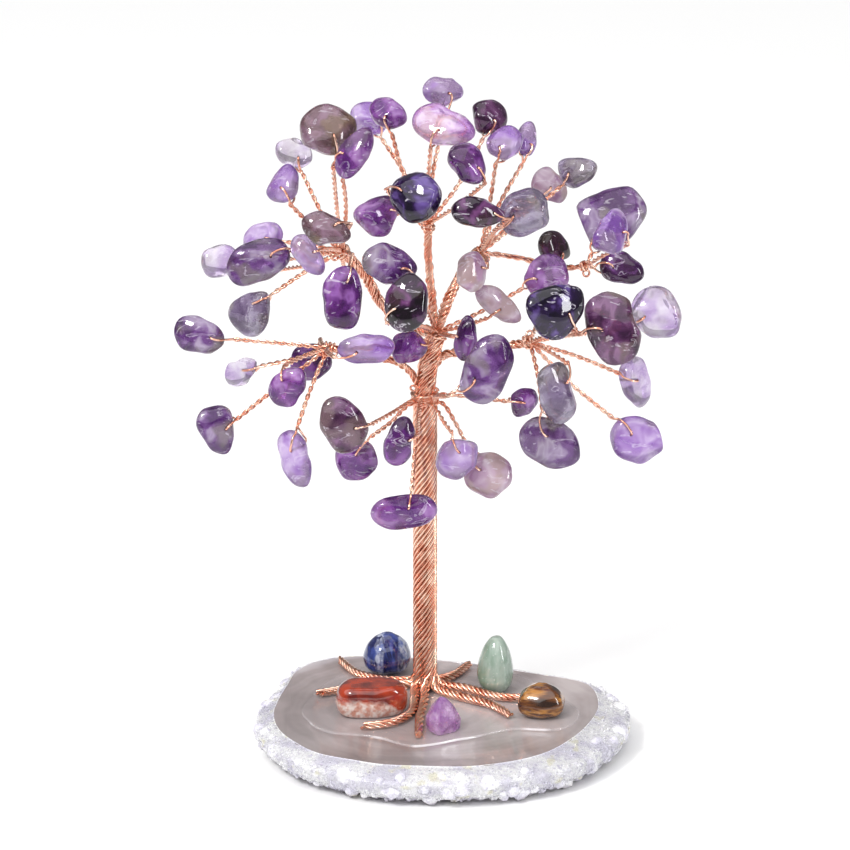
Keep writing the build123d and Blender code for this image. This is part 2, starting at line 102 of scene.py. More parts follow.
class Tint(Enum):
    """The crown's tints of amethyst: deep, middle, light and smoky colours, and how clear it is."""

    INDIGO = ((14, 5, 28), (40, 17, 66), (108, 84, 156), (26, 14, 36), 0.22)
    NIGHT = ((16, 5, 16), (46, 20, 50), (118, 68, 120), (48, 32, 28), 0.26)
    DEEP = ((54, 14, 68), (96, 38, 118), (162, 106, 186), (66, 38, 68), 0.45)
    VIOLET = ((90, 32, 116), (138, 72, 160), (196, 150, 214), (106, 72, 112), 0.55)
    PLUM = ((54, 20, 54), (100, 54, 98), (152, 110, 152), (122, 100, 100), 0.50)
    SMOKY = ((76, 50, 58), (118, 88, 98), (162, 128, 152), (130, 106, 84), 0.54)
    ZONED = ((72, 30, 94), (118, 74, 142), (188, 172, 200), (136, 124, 126), 0.55)
    GREY = ((100, 80, 116), (144, 126, 158), (204, 196, 218), (138, 128, 128), 0.66)
    LAVENDER = ((144, 96, 184), (180, 142, 210), (224, 204, 240), (166, 142, 174), 0.62)
    MILKY = ((168, 128, 164), (198, 164, 192), (230, 212, 226), (192, 168, 166), 0.40)
    ROSE = ((178, 122, 200), (212, 174, 224), (246, 232, 246), (210, 172, 190), 0.68)
    CLEAR = ((178, 148, 202), (212, 194, 228), (242, 236, 246), (196, 188, 194), 0.80)


class Chip(NamedTuple):
    """A drilled chip: its place in the picture, its depth, its size in pixels, its turns, form and tint."""

    across: float
    down: float
    depth: float
    long: float
    wide: float
    tilt: float
    turn: float
    form: Form
    thick: float
    tint: Tint


CHIPS = {
    "leader": (
        Chip(370, 118, 0.30, 44, 38, 10, 23, Form.OVAL, 0.62, Tint.LAVENDER),
        Chip(388, 114, 0.02, 46, 34, -25, -15, Form.EGG, 0.66, Tint.VIOLET),
        Chip(445, 91, 0.10, 50, 33, 15, 19, Form.LEAF, 0.66, Tint.LAVENDER),
        Chip(445, 126, -0.28, 72, 44, -20, -11, Form.LEAF, 0.50, Tint.ROSE),
        Chip(490, 117, 0.18, 42, 36, 20, 27, Form.BLOCK, 0.70, Tint.PLUM),
        Chip(468, 164, -0.54, 48, 38, -55, 19, Form.EGG, 0.66, Tint.DEEP),
        Chip(416, 197, -0.72, 58, 50, -50, -19, Form.OVAL, 0.60, Tint.INDIGO),
        Chip(377, 212, -0.35, 48, 44, 60, 30, Form.WEDGE, 0.60, Tint.VIOLET),
        Chip(414, 190, 0.72, 44, 34, 30, -38, Form.OVAL, 0.62, Tint.VIOLET),
    ),
    "upper_right_limb": (
        Chip(505, 143, 0.02, 38, 34, 40, -23, Form.BLOCK, 0.66, Tint.LAVENDER),
        Chip(527, 138, 0.34, 46, 24, 82, 34, Form.LEAF, 0.70, Tint.LAVENDER),
        Chip(578, 169, 0.24, 44, 36, 18, -34, Form.WEDGE, 0.62, Tint.GREY),
        Chip(550, 186, 0.44, 42, 34, -30, 19, Form.BLOCK, 0.66, Tint.MILKY),
        Chip(480, 213, -0.66, 62, 32, 0, 15, Form.LEAF, 0.72, Tint.NIGHT),
        Chip(525, 213, -0.17, 56, 50, 30, -19, Form.OVAL, 0.56, Tint.GREY),
        Chip(471, 271, -0.47, 44, 36, 78, 27, Form.EGG, 0.66, Tint.MILKY),
        Chip(524, 218, 0.86, 42, 36, -20, 38, Form.EGG, 0.66, Tint.VIOLET),
    ),
    "far_right_limb": (
        Chip(611, 216, 0.22, 74, 62, 30, -15, Form.BLOCK, 0.46, Tint.ZONED),
        Chip(610, 229, -0.24, 52, 44, 80, 23, Form.WEDGE, 0.54, Tint.LAVENDER),
        Chip(555, 248, 0.30, 42, 34, -20, 27, Form.EGG, 0.66, Tint.NIGHT),
        Chip(623, 269, 0.17, 52, 36, -20, -19, Form.EGG, 0.66, Tint.DEEP),
    ),
    "neck": (
        Chip(391, 265, -0.60, 60, 42, -10, 15, Form.LEAF, 0.62, Tint.ZONED),
        Chip(407, 302, -0.88, 64, 44, 86, -15, Form.OVAL, 0.62, Tint.NIGHT),
        Chip(409, 347, -0.16, 43, 33, 10, 38, Form.BLOCK, 0.66, Tint.VIOLET),
        Chip(547, 276, 0.00, 50, 46, 40, -23, Form.OVAL, 0.56, Tint.VIOLET),
        Chip(500, 306, -0.34, 66, 28, -33, 19, Form.LEAF, 0.76, Tint.MILKY),
        Chip(466, 337, -0.50, 52, 24, 84, -30, Form.LEAF, 0.80, Tint.DEEP),
    ),
    "right_limb": (
        Chip(556, 305, -0.62, 66, 60, 45, 15, Form.WEDGE, 0.52, Tint.INDIGO),
        Chip(613, 328, -0.50, 77, 53, -77, -19, Form.BLOCK, 0.54, Tint.PLUM),
        Chip(657, 314, 0.06, 62, 54, -45, -27, Form.EGG, 0.50, Tint.CLEAR),
        Chip(556, 392, -0.52, 68, 40, -72, 19, Form.BLOCK, 0.62, Tint.GREY),
        Chip(551, 444, -0.36, 72, 50, -32, -15, Form.OVAL, 0.54, Tint.ZONED),
        Chip(636, 382, 0.18, 58, 38, -65, 30, Form.BLOCK, 0.60, Tint.CLEAR),
        Chip(638, 440, -0.20, 63, 50, -24, -11, Form.OVAL, 0.52, Tint.LAVENDER),
        Chip(560, 300, 0.64, 44, 38, 15, 34, Form.BLOCK, 0.62, Tint.VIOLET),
        Chip(610, 330, 0.66, 46, 36, -60, -30, Form.OVAL, 0.62, Tint.LAVENDER),
    ),
    "upper_left_limb": (
        Chip(329, 130, -0.30, 60, 56, 20, 15, Form.OVAL, 0.54, Tint.SMOKY),
        Chip(356, 151, -0.58, 62, 34, 60, -23, Form.EGG, 0.70, Tint.VIOLET),
        Chip(294, 153, 0.36, 42, 32, -20, 27, Form.OVAL, 0.62, Tint.CLEAR),
        Chip(283, 182, -0.14, 42, 36, 80, -19, Form.WEDGE, 0.58, Tint.LAVENDER),
        Chip(327, 230, -0.67, 56, 34, -15, 11, Form.LEAF, 0.66, Tint.SMOKY),
        Chip(220, 261, 0.38, 40, 34, 20, 30, Form.BLOCK, 0.62, Tint.CLEAR),
        Chip(262, 238, 0.20, 54, 32, 8, -15, Form.OVAL, 0.62, Tint.LAVENDER),
        Chip(258, 261, -0.35, 68, 42, 20, 11, Form.BLOCK, 0.56, Tint.ZONED),
        Chip(309, 256, -0.50, 50, 28, -55, 11, Form.EGG, 0.72, Tint.LAVENDER),
        Chip(252, 309, 0.16, 56, 50, 50, -23, Form.WEDGE, 0.52, Tint.GREY),
        Chip(342, 297, -0.66, 68, 40, 86, 15, Form.BLOCK, 0.60, Tint.DEEP),
        Chip(340, 294, 0.70, 46, 34, 70, -34, Form.OVAL, 0.64, Tint.VIOLET),
        Chip(262, 262, 0.74, 44, 32, 10, 38, Form.EGG, 0.64, Tint.LAVENDER),
    ),
    "left_limb": (
        Chip(201, 336, -0.12, 60, 40, -15, 15, Form.EGG, 0.60, Tint.ZONED),
        Chip(242, 371, 0.22, 48, 30, 30, -23, Form.LEAF, 0.66, Tint.CLEAR),
        Chip(311, 362, 0.25, 44, 38, 10, 19, Form.BLOCK, 0.60, Tint.DEEP),
        Chip(289, 386, -0.60, 50, 36, 50, -15, Form.EGG, 0.66, Tint.VIOLET),
        Chip(220, 431, -0.34, 56, 40, -65, 23, Form.WEDGE, 0.60, Tint.ZONED),
        Chip(295, 460, -0.30, 64, 34, -78, -19, Form.BLOCK, 0.62, Tint.LAVENDER),
        Chip(368, 349, -0.72, 67, 30, 0, 11, Form.OVAL, 0.76, Tint.LAVENDER),
    ),
    "crotch": (
        Chip(344, 427, -0.62, 69, 45, -62, 15, Form.OVAL, 0.58, Tint.PLUM),
        Chip(357, 460, -0.30, 48, 42, 20, -23, Form.BLOCK, 0.58, Tint.VIOLET),
        Chip(400, 440, -0.74, 56, 31, 75, 19, Form.EGG, 0.74, Tint.DEEP),
        Chip(405, 512, -0.50, 74, 38, 0, 8, Form.OVAL, 0.62, Tint.VIOLET),
        Chip(487, 370, -0.76, 81, 47, 64, -11, Form.OVAL, 0.56, Tint.ZONED),
        Chip(458, 457, -0.34, 50, 46, 30, 15, Form.EGG, 0.56, Tint.LAVENDER),
        Chip(524, 402, 0.04, 34, 28, 20, 30, Form.BLOCK, 0.72, Tint.VIOLET),
        Chip(488, 475, -0.18, 52, 50, -20, -15, Form.OVAL, 0.54, Tint.MILKY),
    ),
}

# Each limb: its route through the picture, and the number of chips beyond it
LIMBS = {
    "neck": (((425, 396, 0.0), (427, 372, 0.0), (436, 332, 0.0)), 40),
    "leader": (((436, 334, 0.0), (431, 288, 0.03), (428, 252, 0.05), (428, 224, 0.03)), 9),
    "upper_right_limb": (((436, 334, 0.0), (450, 296, -0.04), (464, 270, 0.02), (480, 253, 0.05)), 12),
    "far_right_limb": (((480, 253, 0.05), (520, 258, 0.18), (556, 268, 0.22), (586, 266, 0.14)), 4),
    "right_limb": (((427, 394, 0.0), (440, 358, 0.04), (484, 350, 0.02), (530, 342, -0.06)), 9),
    "upper_left_limb": (
        ((436, 334, 0.0), (412, 326, 0.10), (382, 304, 0.10), (364, 274, 0.04), (342, 251, 0.0)),
        13,
    ),
    "left_limb": (((423, 394, 0.0), (404, 366, -0.06), (368, 356, -0.12), (328, 348, -0.08)), 7),
}

# Each root from the trunk outwards, as shares of the slice's length and depth
ROOTS = {
    "right": ((0.117, -0.040), (0.200, -0.105), (0.272, -0.112)),
    "right_back": ((0.070, 0.065), (0.100, 0.120), (0.118, 0.165)),
    "back": ((0.000, 0.110), (0.016, 0.175), (-0.006, 0.235)),
    "left_back": ((-0.097, 0.030), (-0.178, 0.088), (-0.232, 0.205)),
    "left": ((-0.100, -0.012), (-0.185, -0.030), (-0.285, -0.078)),
    "front_left": ((-0.028, -0.125), (-0.038, -0.235), (-0.088, -0.310), (-0.165, -0.340)),
    "front": ((-0.002, -0.140), (-0.014, -0.280), (-0.016, -0.420)),
    "right_front": ((0.075, -0.085), (0.170, -0.165), (0.222, -0.250)),
}

SLICE_OUTLINE = (
    (-0.44, -0.10), (-0.405, 0.04), (-0.365, 0.185), (-0.285, 0.272), (-0.15, 0.298), (0.12, 0.237),
    (0.325, 0.145), (0.475, 0.06), (0.545, -0.11), (0.53, -0.30), (0.47, -0.45), (0.39, -0.57),
    (0.29, -0.645), (0.14, -0.70), (-0.01, -0.702), (-0.14, -0.68), (-0.215, -0.635), (-0.32, -0.56),
    (-0.385, -0.465), (-0.435, -0.345), (-0.452, -0.21),
)
# How far the crystal rim comes in over the polished face at each place of the outline, in millimetres
RIM_WIDTHS = (
    3.4, 2.6, 2.0, 1.6, 1.4, 1.4, 1.8, 3.0, 6.2, 7.6, 7.4, 7.0, 6.4, 5.9, 5.8, 5.6, 5.0, 4.4, 4.2, 4.0, 3.8,
)
RESIN_OUTLINE = (
    (-0.30, -0.06), (-0.25, 0.08), (-0.13, 0.20), (0.02, 0.225), (0.17, 0.185), (0.29, 0.06),
    (0.35, -0.06), (0.41, -0.21), (0.36, -0.34), (0.23, -0.345), (0.10, -0.42), (-0.03, -0.475),
    (-0.14, -0.40), (-0.26, -0.36), (-0.33, -0.21),
)


def crown_point(across: float, down: float, depth: float) -> Vector:
    """The point of the tree that the photograph shows at a pixel.

    Args:
        across: Pixels from the picture's left edge.
        down: Pixels from its top edge.
        depth: Share of half the crown's depth, away from the camera.

    Returns:
        The point, in millimetres.
    """
    y = depth * CROWN_DEPTH / 2
    tilt_cos, tilt_sin = math.cos(VIEW_TILT), math.sin(VIEW_TILT)
    slope = (PICTURE_MIDDLE - down) * PIXEL / VIEW_DISTANCE
    rise = (slope * (VIEW_DISTANCE + y * tilt_cos) - y * tilt_sin) / (tilt_cos + slope * tilt_sin)
    away = VIEW_DISTANCE + y * tilt_cos - rise * tilt_sin
    return Vector(((across - PICTURE_MIDDLE) * PIXEL * away / VIEW_DISTANCE, y, VIEW_AIM + rise))


def slice_point(share: Share, height: float = SLICE_TOP) -> Vector:
    """A point over the slice from its shares of the slice's length and depth."""
    return Vector((share[0] * SLICE_LENGTH, share[1] * SLICE_DEPTH, height))


def round_point(reach: float, angle: float, height: float) -> Vector:
    """A point from its distance from the trunk's axis, its angle in radians and its height."""
    return Vector((math.cos(angle) * reach, math.sin(angle) * reach, height))


def clamped(value: float, low: float, high: float) -> float:
    """The value, or the nearer end where it lies beyond one."""
    return min(max(value, low), high)


def sampled(values: list[float], place: float) -> float:
    """The value at a place between two entries of a list."""
    low = int(place)
    return values[low] + (values[min(low + 1, len(values) - 1)] - values[low]) * (place - low)


def middle_of(points: list[Vector]) -> Vector:
    """The mean of some points."""
    return sum(points, Vector((0, 0, 0))) / len(points)


CROTCH = crown_point(425, 392, 0.0)
BINDING_BOTTOM = CROTCH.z - BINDING_HEIGHT
TRUNK_FOOT = SLICE_TOP + FOOT_RISE


class Line:
    """A smooth line through space, as evenly spaced points in millimetres."""

    def __init__(self, points: list[Vector]) -> None:
        """Keeps the points.

        Args:
            points: The points, in order.
        """
        self.points = points

    @classmethod
    def through(cls, knots: list[Vector], step: float, closed: bool = False) -> "Line":
        """A smooth line through a few points.

        Args:
            knots: The points that it passes.
            step: Distance between the line's own points.
            closed: Whether it returns to its first point.

        Returns:
            The line.
        """
        if closed:
            around = [knots[-1], *knots, knots[0], knots[1]]
        else:
            around = [knots[0] * 2 - knots[1], *knots, knots[-1] * 2 - knots[-2]]
        points = []
        for a, b, c, d in zip(around, around[1:], around[2:], around[3:]):
            t1 = max((b - a).length, TINY) ** 0.5
            t2 = t1 + max((c - b).length, TINY) ** 0.5
            t3 = t2 + max((d - c).length, TINY) ** 0.5
            count = max(1, round((c - b).length / step))
            for index in range(count):
                t = t1 + (t2 - t1) * index / count
                ab = a.lerp(b, t / t1)
                bc = b.lerp(c, (t - t1) / (t2 - t1))
                cd = c.lerp(d, (t - t2) / (t3 - t2))
                abc = ab.lerp(bc, t / t2)
                bcd = bc.lerp(cd, (t - t1) / (t3 - t1))
                points.append(abc.lerp(bcd, (t - t1) / (t2 - t1)))
        if not closed:
            points.append(knots[-1].copy())
        return cls(points)

    @classmethod
    def coil(
        cls, centre: Vector, across: Vector, over: Vector, turns: float, count: int,
        start: float = 0.0, climb: Vector = Vector((0, 0, 0)),
    ) -> "Line":
        """A coil round a point.

        Args:
            centre: Its middle at the start.
            across: From its middle to angle zero.
            over: From its middle to a quarter turn further.
            turns: How many turns it makes.
            count: How many steps it has.
            start: The angle of its first point, in radians.
            climb: How far it moves on in each turn.

        Returns:
            The coil.
        """
        points = []
        for index in range(count + 1):
            turned = turns * index / count
            angle = start + TURN * turned
            points.append(centre + across * math.cos(angle) + over * math.sin(angle) + climb * turned)
        return cls(points)

    def tangents(self) -> list[Vector]:
        """The line's direction at each point.

        Returns:
            The directions, each of length 1.
        """
        before = [self.points[0], *self.points[:-1]]
        after = [*self.points[1:], self.points[-1]]
        return [(b - a).normalized() for a, b in zip(before, after)]

    def frames(self, first: Vector) -> list[tuple[Vector, Vector]]:
        """Two directions across the line at each point, carried along it without a twist.

        Args:
            first: Roughly the first direction wanted at the start.

        Returns:
            A pair of directions for each point.
        """
        across = first
        pairs = []
        for tangent in self.tangents():
            across = across - tangent * across.dot(tangent)
            if across.length < TINY:
                across = tangent.orthogonal()
            across = across.normalized()
            pairs.append((across, tangent.cross(across)))
        return pairs

    def wound(self, radius: float, pitch: float, phase: float, first: Vector = Vector((0, -1, 0))) -> "Line":
        """A line wound round this one.

        Args:
            radius: Distance from this line.
            pitch: Length of one turn along it.
            phase: Angle at its start, in radians.
            first: The direction of angle zero at the start.

        Returns:
            The wound line.
        """
        travelled, previous, points = 0.0, self.points[0], []
        for point, (across, over) in zip(self.points, self.frames(first)):
            travelled += (point - previous).length
            previous = point
            angle = phase + TURN * travelled / pitch
            points.append(point + (across * math.cos(angle) + over * math.sin(angle)) * radius)
        return Line(points)


class Value:
    """A shader socket that Python's operators work on."""

    def __init__(self, shader: "Shader", socket: bpy.types.NodeSocket) -> None:
        """Wraps a socket of a material."""
        self.shader = shader
        self.socket = socket

    def _maths(self, operation: str, *values: "Value | float") -> "Value":
        """A Math node on values."""
        return self.shader.node("ShaderNodeMath", {"operation": operation}, dict(enumerate(values)))

    def __add__(self, other: "Value | float") -> "Value":
        """self + other."""
        return self._maths("ADD", self, other)

    def __radd__(self, other: float) -> "Value":
        """other + self."""
        return self._maths("ADD", other, self)

    def __sub__(self, other: "Value | float") -> "Value":
        """self - other."""
        return self._maths("SUBTRACT", self, other)

    def __rsub__(self, other: float) -> "Value":
        """other - self."""
        return self._maths("SUBTRACT", other, self)

    def __mul__(self, other: "Value | float") -> "Value":
        """self * other."""
        return self._maths("MULTIPLY", self, other)

    def __rmul__(self, other: float) -> "Value":
        """other * self."""
        return self._maths("MULTIPLY", other, self)

    def __truediv__(self, other: "Value | float") -> "Value":
        """self / other."""
        return self._maths("DIVIDE", self, other)

    def __rtruediv__(self, other: float) -> "Value":
        """other / self."""
        return self._maths("DIVIDE", other, self)

    def sine(self) -> "Value":
        """The sine of the value."""
        return self._maths("SINE", self)

    def between(self, low: float, high: float) -> "Value":
        """0 below low, 1 above high and smooth between.

        Args:
            low: Where it leaves 0.
            high: Where it reaches 1.

        Returns:
            The stepped value.
        """
        inputs = {"Value": self, "From Min": low, "From Max": high}
        return self.shader.node("ShaderNodeMapRange", {"interpolation_type": "SMOOTHSTEP"}, inputs)


def colour(red: float, green: float, blue: float) -> tuple[float, float, float, float]:
    """A screen colour of 0 to 255 as the linear one that shaders take."""
    shares = (red / 255, green / 255, blue / 255)
    return (*(c / 12.92 if c <= 0.04045 else ((c + 0.055) / 1.055) ** 2.4 for c in shares), 1.0)


class Shader:
    """One material and the nodes that make it."""

    def __init__(self, name: str, **constants: float) -> None:
        """Starts a material on one principled shader.

        Args:
            name: The material's name.
            constants: Values for the shader's own sockets, with underscores for spaces.
        """
        self.material = bpy.data.materials.new(name)
        self.material.use_nodes = True
        self.tree = self.material.node_tree
        self.surface = self.tree.nodes["Principled BSDF"]
        for key, value in constants.items():
            self.surface.inputs[key.replace("_", " ")].default_value = value

    def node(
        self, kind: str, settings: dict | None = None, inputs: dict | None = None, output: int = 0,
    ) -> Value:
        """Adds any node.

        Args:
            kind: The node's type.
            settings: Its own settings; a ramp's stops are given as "stops".
            inputs: Values or links of its sockets, by name or number.
            output: Which of its outputs to return.

        Returns:
            The chosen output.
        """
        node = self.tree.nodes.new(kind)
        for key, value in (settings or {}).items():
            if key == "stops":
                elements = node.color_ramp.elements
                while len(elements) < len(value):
                    elements.new(1.0)
                for element, (place, shade) in zip(elements, value):
                    element.position = place
                    element.color = colour(*shade)
            else:
                setattr(node, key, value)
        for key, value in (inputs or {}).items():
            self.join(value, node.inputs[key])
        return Value(self, node.outputs[output])

    def join(self, value: "Value | float | tuple", socket: bpy.types.NodeSocket) -> None:
        """Feeds a socket.

        Args:
            value: What is linked to it, or the plain number or colour that is set on it.
            socket: The socket.
        """
        if isinstance(value, Value):
            self.tree.links.new(value.socket, socket)
        else:
            socket.default_value = value

    def place(self) -> Value:
        """Where a point of the surface is on the piece, in metres."""
        return self.node("ShaderNodeTexCoord", output=3)

    def along(self, axis: int) -> Value:
        """How far a point of the surface is along an axis of the piece, in millimetres."""
        return self.node("ShaderNodeSeparateXYZ", inputs={0: self.place()}, output=axis) * (1 / MM)

    def noise(
        self, feature_mm: float, detail: float = 3.0, stretch: Spot = (1, 1, 1), warp: float = 0.0,
    ) -> Value:
        """Cloudy noise.

        Args:
            feature_mm: Rough size of its clouds.
            detail: How much finer noise it holds.
            stretch: How much finer it is along each axis.
            warp: How far it distorts itself.

        Returns:
            A value around 0.5.
        """
        scaled = self.node("ShaderNodeMapping", inputs={"Vector": self.place(), "Scale": stretch})
        inputs = {"Vector": scaled, "Scale": 1 / (feature_mm * MM), "Detail": detail, "Distortion": warp}
        return self.node("ShaderNodeTexNoise", inputs=inputs)

    def mix(self, share: Value | float, first: Value | Shade, second: Value | Shade) -> Value:
        """A colour between two colours."""
        ends = [end if isinstance(end, Value) else colour(*end) for end in (first, second)]
        return self.node("ShaderNodeMix", {"data_type": "RGBA"}, {0: share, 6: ends[0], 7: ends[1]}, output=2)

    def ramp(self, share: Value, stops: list[tuple[float, Shade]]) -> Value:
        """A colour picked from stops."""
        return self.node("ShaderNodeValToRGB", {"stops": stops}, {0: share})

    def bump(self, height: Value, depth_mm: float, strength: float = 1.0) -> None:
        """Roughens the surface by a height of 0 to 1."""
        inputs = {"Height": height, "Distance": depth_mm * MM, "Strength": strength}
        self.paint("Normal", self.node("ShaderNodeBump", inputs=inputs))

    def paint(self, socket: str, value: Value) -> None:
        """Feeds a socket of the surface."""
        self.join(value, self.surface.inputs[socket])


class Finish(Protocol):
    """What a stone needs to know about its finish."""

    def material(self) -> bpy.types.Material:
        """Makes the material."""


@dataclass(frozen=True)
class CopperFinish:
    """Bright rose copper wire, drawn smooth, with darker patches that are partly tarnish and partly painted
    shade.
    """

    bright: Shade = (252, 212, 190)
    rose: Shade = (232, 164, 138)
    # Darker tone: partly tarnish, partly painted shade that deepens the wires' contrast
    dark: Shade = (156, 96, 76)
    patch_size: float = 2.6
    tarnish_size: float = 7.0
    tarnish: float = 0.45
    scuff_size: float = 1.4
    roughness: float = 0.12
    scuffs: float = 0.14

    def material(self, name: str = "copper_wire") -> bpy.types.Material:
        """Makes the material.

        Args:
            name: Its name.

        Returns:
            The material.
        """
        shader = Shader(name, Metallic=1.0)
        patch = shader.noise(self.patch_size, 2.0).between(0.35, 0.65)
        # Darker patches at random: partly tarnish, partly painted shade that deepens the copper's contrast
        tarnish_and_painted_shade = shader.noise(self.tarnish_size, 4.0).between(0.52, 0.72)
        tone = shader.mix(patch, self.rose, self.bright)
        shader.paint("Base Color", shader.mix(tarnish_and_painted_shade * self.tarnish, tone, self.dark))
        shader.paint("Roughness", self.roughness + self.scuffs * shader.noise(self.scuff_size, 3.0))
        return shader.material


@dataclass(frozen=True)
class AmethystFinish:
    """Polished amethyst of one tint, with cloudy zones, veils and smoky parts."""

    tint: Tint
    refraction: float = 1.54
    zone_size: float = 5.0
    cloud_size: float = 1.7
    clouds: float = 0.35
    smoke_size: float = 6.5
    smoke: float = 0.85
    veil_size: float = 2.2
    veil_stretch: Spot = (0.35, 1.6, 1.0)
    veils: float = 0.55
    veil_shade: Shade = (246, 240, 252)
    polish: float = 0.03
    dulling: float = 0.16
    ripple_size: float = 2.4
    ripple_depth: float = 0.12

    def material(self) -> bpy.types.Material:
        """Makes the material.

        Returns:
            The material.
        """
        deep, middle, light, smoky, clear = self.tint.value
        shader = Shader(f"amethyst_{self.tint.name.lower()}", Transmission_Weight=clear, IOR=self.refraction)
        zones = shader.noise(self.zone_size, 2.5, warp=0.5)
        cloud = shader.noise(self.cloud_size, 5.0, warp=1.2)
        veil = shader.noise(self.veil_size, 4.0, self.veil_stretch, warp=1.8)
        body = shader.ramp(zones, [(0.39, deep), (0.50, middle), (0.61, light), (0.76, middle)])
        smoked = shader.mix(shader.noise(self.smoke_size, 2.0).between(0.51, 0.62) * self.smoke, body, smoky)
        clouded = shader.mix(cloud.between(0.55, 0.80) * self.clouds, smoked, light)
        streak = veil.between(0.60, 0.64) * (1 - veil.between(0.64, 0.69))
        shader.paint("Base Color", shader.mix(streak * self.veils, clouded, self.veil_shade))
        shader.paint("Roughness", self.polish + self.dulling * cloud.between(0.62, 0.85))
        shader.bump(shader.noise(self.ripple_size, 2.0), self.ripple_depth, 0.35)
        return shader.material


@dataclass(frozen=True)
class AgateFinish:
    """The sawn and polished face of the slice: grey-mauve, milky and faintly banded."""

    pale: Shade = (194, 184, 184)
    mauve: Shade = (168, 157, 157)
    grey: Shade = (142, 132, 132)
    crystal: Shade = (226, 222, 230)
    middle: Spot = (-0.06, 0.35, 0.0)
    spread: Spot = (27.0, 31.0, 0.0)
    wander: float = 0.22
    wander_size: float = 14.0
    cloud_size: float = 18.0
    bands: float = 46.0
    fine_bands: float = 120.0

    def material(self) -> bpy.types.Material:
        """Makes the material.

        Returns:
            The material.
        """
        gloss = {"Coat_Weight": 0.25, "Coat_Roughness": 0.06}
        shader = Shader("agate_face", Transmission_Weight=0.12, IOR=1.5, **gloss)
        inputs = {"Vector": shader.place(), "Location": self.middle, "Scale": self.spread}
        centred = shader.node("ShaderNodeMapping", inputs=inputs)
        reach = shader.node("ShaderNodeVectorMath", {"operation": "LENGTH"}, {0: centred}, output=1)
        wandering = reach + self.wander * shader.noise(self.wander_size, 3.0)
        broad = (wandering * self.bands).sine()
        fine = (wandering * self.fine_bands).sine()
        tone = shader.noise(self.cloud_size, 3.0) + 0.03 * broad + 0.015 * fine
        face = shader.ramp(tone, [(0.30, self.grey), (0.50, self.mauve), (0.72, self.pale)])
        shader.paint("Base Color", shader.mix(wandering.between(1.06, 1.22) * 0.7, face, self.crystal))
        shader.paint("Roughness", 0.09 + 0.14 * shader.noise(3.0, 2.0))
        return shader.material


@dataclass(frozen=True)
class DruseFinish:
    """Sugary quartz: white, with lavender and yellowish patches, and greyer at the foot."""

    name: str = "sugary_quartz"
    clear: float = 0.35
    white: Shade = (253, 253, 255)
    lavender: Shade = (214, 210, 230)
    shadow: Shade = (210, 206, 224)
    yellow: Shade = (240, 236, 208)
    foot: Shade = (184, 174, 188)
    grain_size: float = 0.7
    lavender_size: float = 5.0
    yellow_size: float = 4.2
    yellow_stretch: Spot = (1.1, 0.9, 1.4)
    foot_size: float = 4.0
    foot_wander: float = 1.2
    foot_heights: Share = (0.5, 1.9)
    pit_size: float = 0.5
    pit_depth: float = 0.3

    def material(self) -> bpy.types.Material:
        """Makes the material.

        Returns:
            The material.
        """
        gloss = {"Coat_Weight": 0.3, "Coat_Roughness": 0.08}
        shader = Shader(self.name, Transmission_Weight=self.clear, IOR=1.5, **gloss)
        grain = shader.noise(self.grain_size, 3.0)
        tinted = shader.noise(self.lavender_size, 3.0).between(0.42, 0.62) * 0.7
        yellowed = shader.noise(self.yellow_size, 2.0, self.yellow_stretch).between(0.60, 0.70) * 0.7
        wander = self.foot_wander * (shader.noise(self.foot_size, 2.0) - 0.5)
        low = 1 - (shader.along(2) + wander).between(*self.foot_heights)
        base = shader.mix(tinted, self.white, self.lavender)
        base = shader.mix(grain.between(0.28, 0.48), self.shadow, base)
        base = shader.mix(low * 0.6, base, self.foot)
        shader.paint("Base Color", shader.mix(yellowed, base, self.yellow))
        shader.paint("Roughness", 0.12 + 0.3 * grain)
        shader.bump(shader.noise(self.pit_size, 4.0), self.pit_depth, 0.75)
        return shader.material


@dataclass(frozen=True)
class ResinFinish:
    """Clear cast resin: a thin film with a painted white highlight along its edge, where its surface turns
    down.
    """

    body: Shade = (204, 194, 196)
    cloudy: Shade = (178, 166, 168)
    # Colour of the painted highlight along the film's edge
    edge: Shade = (244, 240, 244)
    haze_size: float = 7.0
    glint_size: float = 9.0
    wave_size: float = 7.5
    wave_depth: float = 0.5

    def material(self) -> bpy.types.Material:
        """Makes the material.

        Returns:
            The material.
        """
        shader = Shader("clear_resin", IOR=1.47, Roughness=0.02, Coat_Weight=1.0, Coat_Roughness=0.02)
        facing = shader.node("ShaderNodeNewGeometry", output=1)
        upward = shader.node("ShaderNodeSeparateXYZ", inputs={0: facing}, output=2)
        # Painted highlight: where the surface turns down from level, the film is painted near white and made
        # more opaque, broken up by noise
        glint = 0.3 + 0.7 * shader.noise(self.glint_size, 2.0).between(0.42, 0.58)
        rim = (1 - upward.between(0.55, 0.97)) * glint
        haze = shader.noise(self.haze_size, 3.0).between(0.45, 0.75)
        shader.paint("Base Color", shader.mix(rim, shader.mix(haze, self.body, self.cloudy), self.edge))
        shader.paint("Alpha", (0.08 + 0.08 * haze + 0.7 * rim) * upward.between(-0.3, 0.1))
        shader.bump(shader.noise(self.wave_size, 2.0), self.wave_depth, 0.7)
        return shader.material


